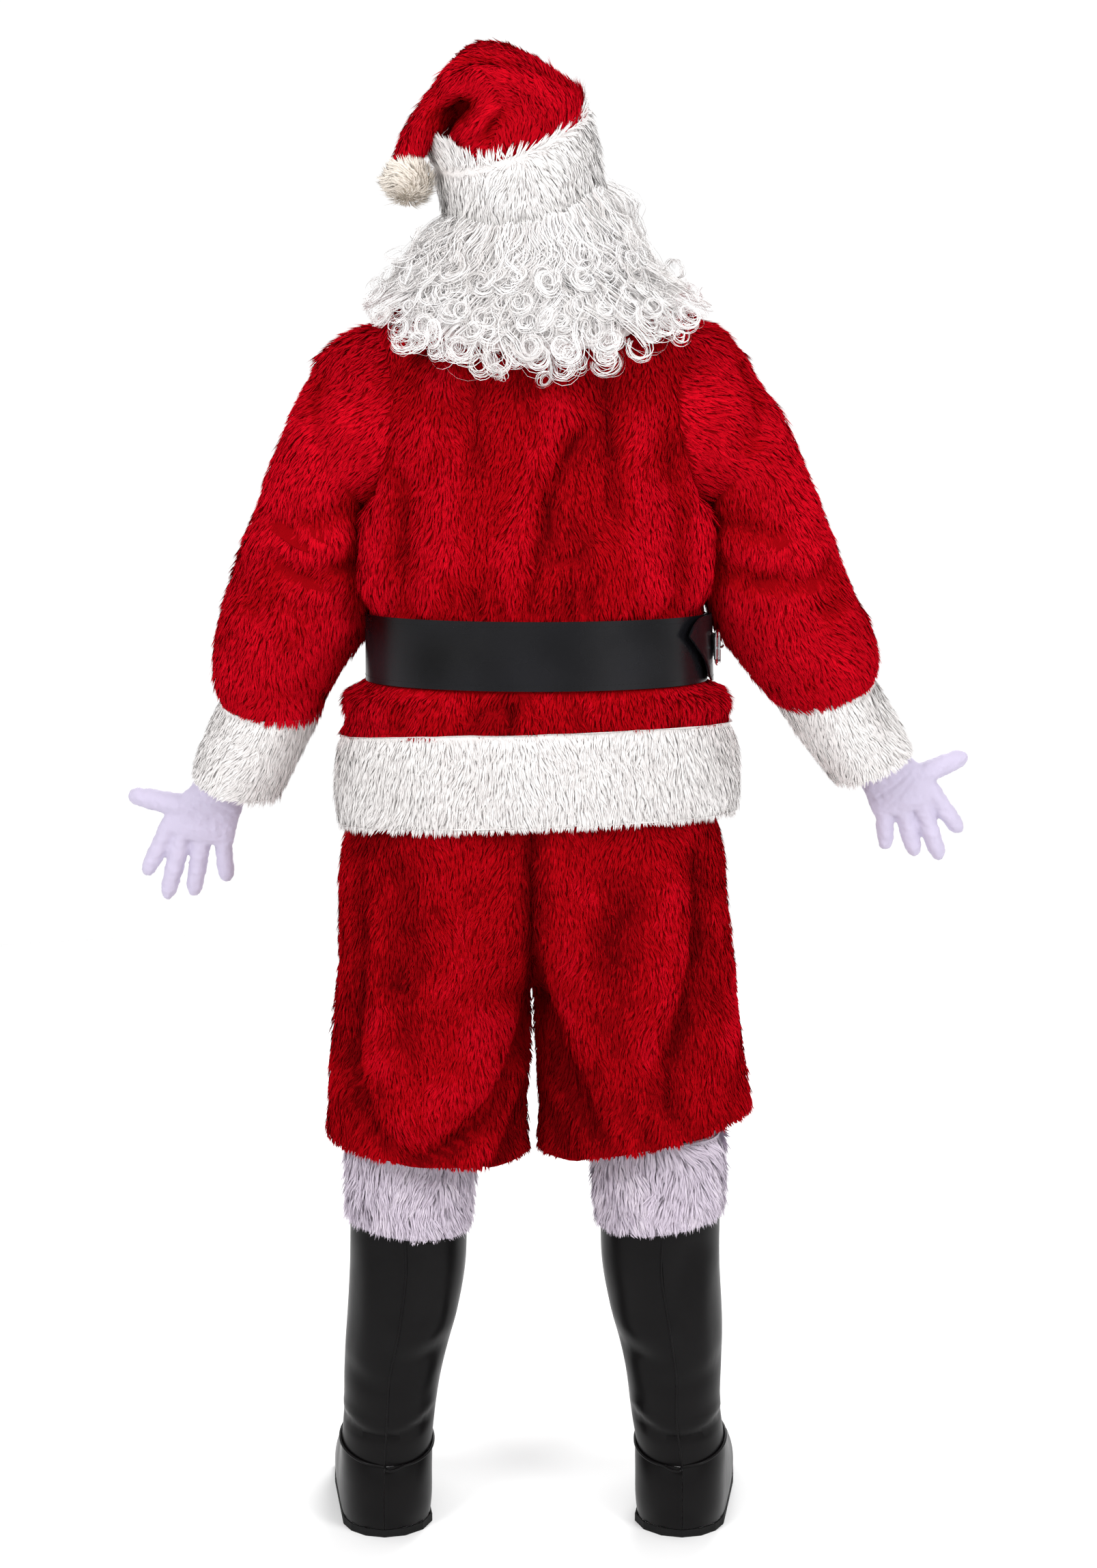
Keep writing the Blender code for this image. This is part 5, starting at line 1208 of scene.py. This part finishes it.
def hanging_guide(tree, number, rng):
    """A lock's wavy way down the hair's outside, how it faces there, and the side that its end curls to.
    Where it leaves the hair the way is None."""
    turn = -HAIR_TURN + 2 * HAIR_TURN * ((number + rng.random()) / HAIR_LOCKS)
    beside, behind = math.sin(math.radians(turn)), math.cos(math.radians(turn))
    layer = number % len(LAYER_ENDS)
    lowest = hair_ends(max(0.0, behind))
    top = HAIR_TOP + HAIR_TOP_HIGHER_RIGHT * beside - HAIR_TOP_LOWER_BEHIND * behind
    end = lowest + LAYER_ENDS[layer] * (top - lowest) / LAYER_LENGTH + rng.normal(0, ENDS_SPREAD)
    end = min(end, top - SHORTEST_LOCK)
    start = top if layer else top - rng.uniform(0.0, STARTS_SPREAD)
    lateral = rng.choice([-1, 1])
    phase = rng.uniform(0, 2 * math.pi)
    swing = rng.uniform(*SWINGS)
    cycles = rng.uniform(*WAVES_DOWN)
    lift = LOCK_LIFT + LAYER_LIFT * layer + rng.uniform(0, LIFTS_SPREAD)
    guide, facing = [], []
    for step in range(WAVE_POINTS):
        share = step / (WAVE_POINTS - 1)
        height = start + (end - start) * share
        sway = swing * math.sin(phase + 2 * math.pi * cycles * share) * share**0.5
        spread = turn * (GATHERED + (1 - GATHERED) * share)
        point, normal = hair_surface(tree, spread + sway, max(height, lowest + 0.004))
        if point is None:
            point, normal = hair_surface(tree, turn * 0.9, max(height, lowest + 0.03))
        if point is None:
            return None, None, lateral
        point = point + normal * (lift + LIFT_WAVE * math.sin(phase * 2 + 7 * share))
        hanging = (HANGS_OFF_RIGHT if turn > 0 else HANGS_OFF_LEFT) * abs(beside) * share**2
        guide.append(point + (unit(point * LEVEL) - UP * 0.6) * hanging)
        facing.append(normal)
    if max(np.linalg.norm(np.diff(guide, axis=0), axis=1)) > LONGEST_STEP:
        return None, None, lateral
    return guide, facing, lateral


def curl_end(guide, facing, lateral, rng):
    """The guide goes on into an open curl at its end."""
    heading, normal = unit(guide[-1] - guide[-2]), facing[-1]
    across = unit(np.cross(heading, normal)) * lateral
    radius = rng.uniform(*CURL_RADII)
    tilt = rng.normal(0, CURL_TILT_SPREAD)
    across = unit(across * math.cos(tilt) + normal * math.sin(tilt))
    centre = guide[-1] + across * radius
    sweep = rng.uniform(*CURL_TURNS) * math.pi
    for step in range(1, STRAND_POINTS - WAVE_POINTS + 1):
        angle = sweep * step / (STRAND_POINTS - WAVE_POINTS)
        shrink = 1 - CURL_SHRINKS * angle / (2 * math.pi)
        around = -across * math.cos(angle) + heading * math.sin(angle)
        guide.append(centre + around * radius * shrink + normal * CURL_RISE * (angle / math.pi))
        facing.append(unit(normal + CURL_SHADING * around))
    return np.array(guide), np.array(facing)


def build_wig():
    tree = build_hair_bases()
    rng = np.random.default_rng(7)
    share = np.linspace(0, 1, STRAND_POINTS)
    swelling = np.sin(math.pi * np.clip(share * LOCK_SWELLS_EARLY, 0, 1))
    body = LOCK_RADIUS * (1 - LOCK_TAPER * share) * (LOCK_LEAST + LOCK_SWELL * swelling)
    paths, facings, widths, tone_index = [], [], [], []
    for number in range(HAIR_LOCKS):
        guide, facing, lateral = hanging_guide(tree, number, rng)
        if guide is None:
            continue
        guide, facing = curl_end(guide, facing, lateral, rng)
        sideways = unit(np.cross(unit(np.gradient(guide, axis=0)), facing))
        tone = rng.normal(0, LOCK_TONE_SPREAD)
        for strand_number in range(LOCK_STRANDS):
            loose = WISP_SPREAD if strand_number < WISPS else 1.0
            aside, out = rng.normal(0, SPREAD_ASIDE * loose), rng.normal(0, SPREAD_OUT * loose)
            frizz = FRIZZ * np.sin(share * rng.uniform(*FRIZZ_PACES) + rng.uniform(0, 6.28))
            strand = guide + sideways * (aside * body + frizz)[:, None]
            strand = strand + facing * (out * body * LOCK_FLATNESS)[:, None]
            paths.append(strand + rng.normal(0, STRAY, 3) * share[:, None])
            facings.append(unit(facing + sideways * (STRAND_SHADING * aside)))
            widths.append(STRAND_WIDTH * rng.uniform(*STRAND_WIDTHS) * (1 - STRAND_TAPER * share**3))
            strand_tone = HAIR_TONE + tone + rng.normal(0, STRAND_TONE_SPREAD)
            tone_index.append(int(np.clip(round(strand_tone), 0, len(HAIR) - 1)))
    strands = (np.array(rows) for rows in (paths, facings, widths, tone_index))
    hair = ribbons("wig_locks", *strands)


# ---------------------------------------------------------------- gloves
GLOVE_MESH = 0.0024  # how fine the glove's faces are
GLOVE_THICKNESS = 0.0010
WRIST_OPENING = 0.002  # past the wrist's oval
# Ovals across the hand from the wrist to the knuckles: both edges seen from behind, its middle's y, and
# half its depth. A digit: root and tip, how far the tip stands before the root, and both radii.
Oval = namedtuple("Oval", "left_x left_z right_x right_z y depth")
Digit = namedtuple("Digit", "root_x root_z tip_x tip_z forward root_radius tip_radius")
FINGERS_Y, THUMB_Y = 0.066, 0.060
PALM_FORMS = [(0.052, 0.028), (0.056, 0.025), (0.063, 0.021), (0.067, 0.017)]
FINGER_FORMS = [(0.012, 0.0130, 0.0100), (0.014, 0.0135, 0.0104), (0.016, 0.0130, 0.0104),
                (0.018, 0.0125, 0.0098)]
THUMB_FORM = (0.020, 0.0155, 0.0112)
PALM_EDGES = {
    "left": [(-0.414, 0.964, -0.356, 0.949), (-0.436, 0.934, -0.367, 0.914),
             (-0.464, 0.910, -0.376, 0.888), (-0.476, 0.882, -0.382, 0.862)],
    "right": [(0.378, 0.974, 0.440, 0.996), (0.398, 0.950, 0.468, 0.973),
              (0.414, 0.922, 0.500, 0.950), (0.423, 0.898, 0.511, 0.922)],
}
FINGER_LINES = {
    "left": [(-0.463, 0.884, -0.497, 0.818), (-0.446, 0.877, -0.471, 0.787),
             (-0.422, 0.872, -0.437, 0.791), (-0.397, 0.872, -0.394, 0.809)],
    "right": [(0.497, 0.927, 0.537, 0.874), (0.482, 0.918, 0.512, 0.838),
              (0.459, 0.911, 0.481, 0.843), (0.438, 0.907, 0.443, 0.851)],
}
THUMB_LINES = {"left": (-0.449, 0.910, -0.516, 0.921), "right": (0.481, 0.948, 0.543, 0.971)}
DIGIT_RINGS = [(-0.35, 0.80), (0.0, 0.98), (0.35, 0.95), (0.55, 1.02), (0.85, 0.96), (0.95, 0.72), (1.0, 0.30)]
RING_SIDES = 14
KNUCKLES_SHRINK, KNUCKLES_PAST = 0.80, 0.008  # the palm's last ring, closing between the fingers
GLOVE_WAVES = [(5, 0.012, 0.0004), (6, 0.006, 0.0003)]  # seed, size and height


def tube(work, rings):
    """Adds a closed tube through rings of points."""
    loops = [[work.verts.new(point) for point in ring] for ring in rings]
    for near, far in zip(loops, loops[1:]):
        for j in range(RING_SIDES):
            k = (j + 1) % RING_SIDES
            work.faces.new((near[j], near[k], far[k], far[j]))
    work.faces.new(loops[0])
    work.faces.new(loops[-1])


def ring_angles():
    return [2 * math.pi * k / RING_SIDES for k in range(RING_SIDES)]


def oval_ring(oval, share=1.0):
    middle = Vector(((oval.left_x + oval.right_x) / 2, oval.y, (oval.left_z + oval.right_z) / 2 + GROUND))
    half = Vector(((oval.right_x - oval.left_x) / 2, 0, (oval.right_z - oval.left_z) / 2)) * share
    depth = Vector((0, oval.depth, 0)) * share
    return [middle + half * math.sin(a) - depth * math.cos(a) for a in ring_angles()]


def digit_rings(digit, y):
    root = Vector((digit.root_x, y, digit.root_z + GROUND))
    tip = Vector((digit.tip_x, y + digit.forward, digit.tip_z + GROUND))
    axis = (tip - root).normalized()
    side = axis.cross(Vector((0, 1, 0))).normalized()
    depth = side.cross(axis)
    rings = []
    for share, swell in DIGIT_RINGS:
        radius = digit.root_radius + (digit.tip_radius - digit.root_radius) * max(0.0, share)
        centre = root.lerp(tip, share)
        ring = [centre + (side * math.cos(a) + depth * math.sin(a)) * radius * swell for a in ring_angles()]
        rings.append(ring)
    return rings


def palm_ovals(side):
    return [Oval(*edges, *form) for edges, form in zip(PALM_EDGES[side], PALM_FORMS)]


def hand_form(side):
    """The glove's outside as overlapping closed tubes."""
    palm = palm_ovals(side)
    work = bmesh.new()
    rings = [oval_ring(oval) for oval in palm]
    down = (rings[-1][0] - rings[-2][0]).normalized() * KNUCKLES_PAST
    rings.append([point + down for point in oval_ring(palm[-1], KNUCKLES_SHRINK)])
    tube(work, rings)
    for line, form in zip(FINGER_LINES[side], FINGER_FORMS):
        tube(work, digit_rings(Digit(*line, *form), FINGERS_Y))
    tube(work, digit_rings(Digit(*THUMB_LINES[side], *THUMB_FORM), THUMB_Y))
    bmesh.ops.recalc_face_normals(work, faces=work.faces)
    return work


def past_wrist(points, side):
    """How far points lie past the middle of the wrist, towards the knuckles."""
    wrist, next_oval = (np.array(oval_ring(oval)).mean(axis=0) for oval in palm_ovals(side)[:2])
    return (points - wrist) @ unit(next_oval - wrist)


def thickened(points, normals, faces):
    """Cloth from an open sheet of faces: the sheet, its inside, and walls between them along its edges."""
    used, packed = np.unique(faces, return_inverse=True)
    packed = packed.reshape(-1, 4)
    skin = points[used]
    edges = np.concatenate([packed[:, [i, (i + 1) % 4]] for i in range(4)])
    _, number = np.unique(np.sort(edges, axis=1), axis=0, return_inverse=True)
    rim = edges[np.bincount(number.ravel())[number.ravel()] == 1]
    walls = np.stack([rim[:, 1], rim[:, 0], rim[:, 0] + len(skin), rim[:, 1] + len(skin)], axis=1)
    both = np.concatenate([skin, skin - normals[used] * GLOVE_THICKNESS])
    return both, np.concatenate([packed, packed[:, ::-1] + len(skin), walls])


def build_gloves():
    for side in ("left", "right"):
        hand, thumb = f"glove_{side}_hand", f"glove_{side}_thumb"
        points, normals, faces = modified(hand, hand_form(side), {
            "REMESH": {"mode": "VOXEL", "voxel_size": GLOVE_MESH},
            "SMOOTH": {"factor": 0.5, "iterations": 7},
        })
        relief = fold_field(points, normals, GLOVE_FOLDS, GLOVE_FOLDS)
        for seed, size, height in GLOVE_WAVES:
            relief = relief + height * waves(points, seed, size)
        points = points + normals * relief[:, None]
        # The wrist is left open where it passes up into the cuff.
        kept = past_wrist(points, side)[faces].min(axis=1) > WRIST_OPENING
        points, faces = thickened(points, normals, faces[kept])
        piece = object_of(f"glove_{side}_cloth", points, faces, [GLOVE])
        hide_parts(hand, thumb)


# ---------------------------------------------------------------- carried-over nodes, stage and camera
KEPT = {
    "buckle_frame": CHROME,
    "buckle_prong": CHROME,
    "belt_fastening_strap": BELT_VINYL,
    "boot_sole_band_left": ELASTIC,
    "boot_sole_band_right": ELASTIC,
    "wig_cap": NET,
}


def finish_kept_nodes():
    for node, used in KEPT.items():
        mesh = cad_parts[node].data
        mesh.materials.clear()
        mesh.materials.append(used)


# Where each lamp stands, what it points at, how wide it is, and its power in watts.
Lamp = namedtuple("Lamp", "place target size power")
LAMPS = {
    "left": Lamp((-2.4, -3.0, 1.5), (0, 0, -0.5), 1.8, 108),
    "right": Lamp((2.6, -2.8, 1.1), (0, 0, -0.6), 1.8, 92),
    "top": Lamp((0.2, -1.4, 2.3), (0, 0, -0.3), 1.5, 22),
    "front": Lamp((0.8, 3.6, 1.4), (0, 0, -0.5), 2.0, 110),
}
CAMERA_PLACE, CAMERA_TARGET = (0.0148, -3.6, -0.08), (0.0148, 0, -0.555)
CAMERA_LENS, CAMERA_SENSOR = 67.4, 36.0  # millimetres


def placed(name, data, place, target):
    """An object that stands at a place and points at a target."""
    obj = bpy.data.objects.new(name, data)
    obj.location = place
    obj.rotation_euler = (Vector(target) - Vector(place)).to_track_quat("-Z", "Y").to_euler()
    bpy.context.scene.collection.objects.link(obj)
    return obj


def build_world():
    """A studio, white before the suit and dimmer behind the photographer."""
    world = bpy.data.worlds.new("studio")
    world.use_nodes = True
    tree = world.node_tree
    background = tree.nodes["Background"]
    background.inputs["Color"].default_value = (1, 1, 1, 1)
    heading = tree.nodes.new("ShaderNodeTexCoord")
    parts = tree.nodes.new("ShaderNodeSeparateXYZ")
    level = tree.nodes.new("ShaderNodeMapRange")
    level.interpolation_type = "SMOOTHSTEP"
    sockets(level, {"From Min": -0.3, "From Max": 0.5, "To Min": 0.5, "To Max": 1.02})
    tree.links.new(heading.outputs["Generated"], parts.inputs["Vector"])
    tree.links.new(parts.outputs["Y"], level.inputs["Value"])
    tree.links.new(level.outputs["Result"], background.inputs["Strength"])
    bpy.context.scene.world = world


FLOOR_SIDES, FLOOR_RADIUS = 96, 4.2


def build_stage():
    paper = plain_material("studio_floor", (0.88, 0.88, 0.88), 0.9)
    around = np.linspace(0, 2 * math.pi, FLOOR_SIDES, endpoint=False)
    corners = FLOOR_RADIUS * np.stack([np.cos(around), np.sin(around), np.zeros(FLOOR_SIDES)], 1) + UP * GROUND
    mesh = bpy.data.meshes.new("floor")
    mesh.from_pydata(corners.tolist(), [], [tuple(range(FLOOR_SIDES))])
    mesh.materials.append(paper)
    floor = bpy.data.objects.new("floor", mesh)
    bpy.context.scene.collection.objects.link(floor)
    build_world()
    for name, lamp in LAMPS.items():
        light = bpy.data.lights.new(name, "AREA")
        light.shape, light.size, light.energy = "DISK", lamp.size, lamp.power
        placed(name, light, lamp.place, lamp.target)
    lens = bpy.data.cameras.new("photo")
    lens.lens, lens.sensor_width = CAMERA_LENS, CAMERA_SENSOR
    bpy.context.scene.camera = placed("photo", lens, CAMERA_PLACE, CAMERA_TARGET)
    bpy.context.scene.view_settings.view_transform = "Standard"


build_jacket()
build_breeches()
build_hat()
build_belt()
build_boots()
build_wig()
build_gloves()
finish_kept_nodes()
build_stage()
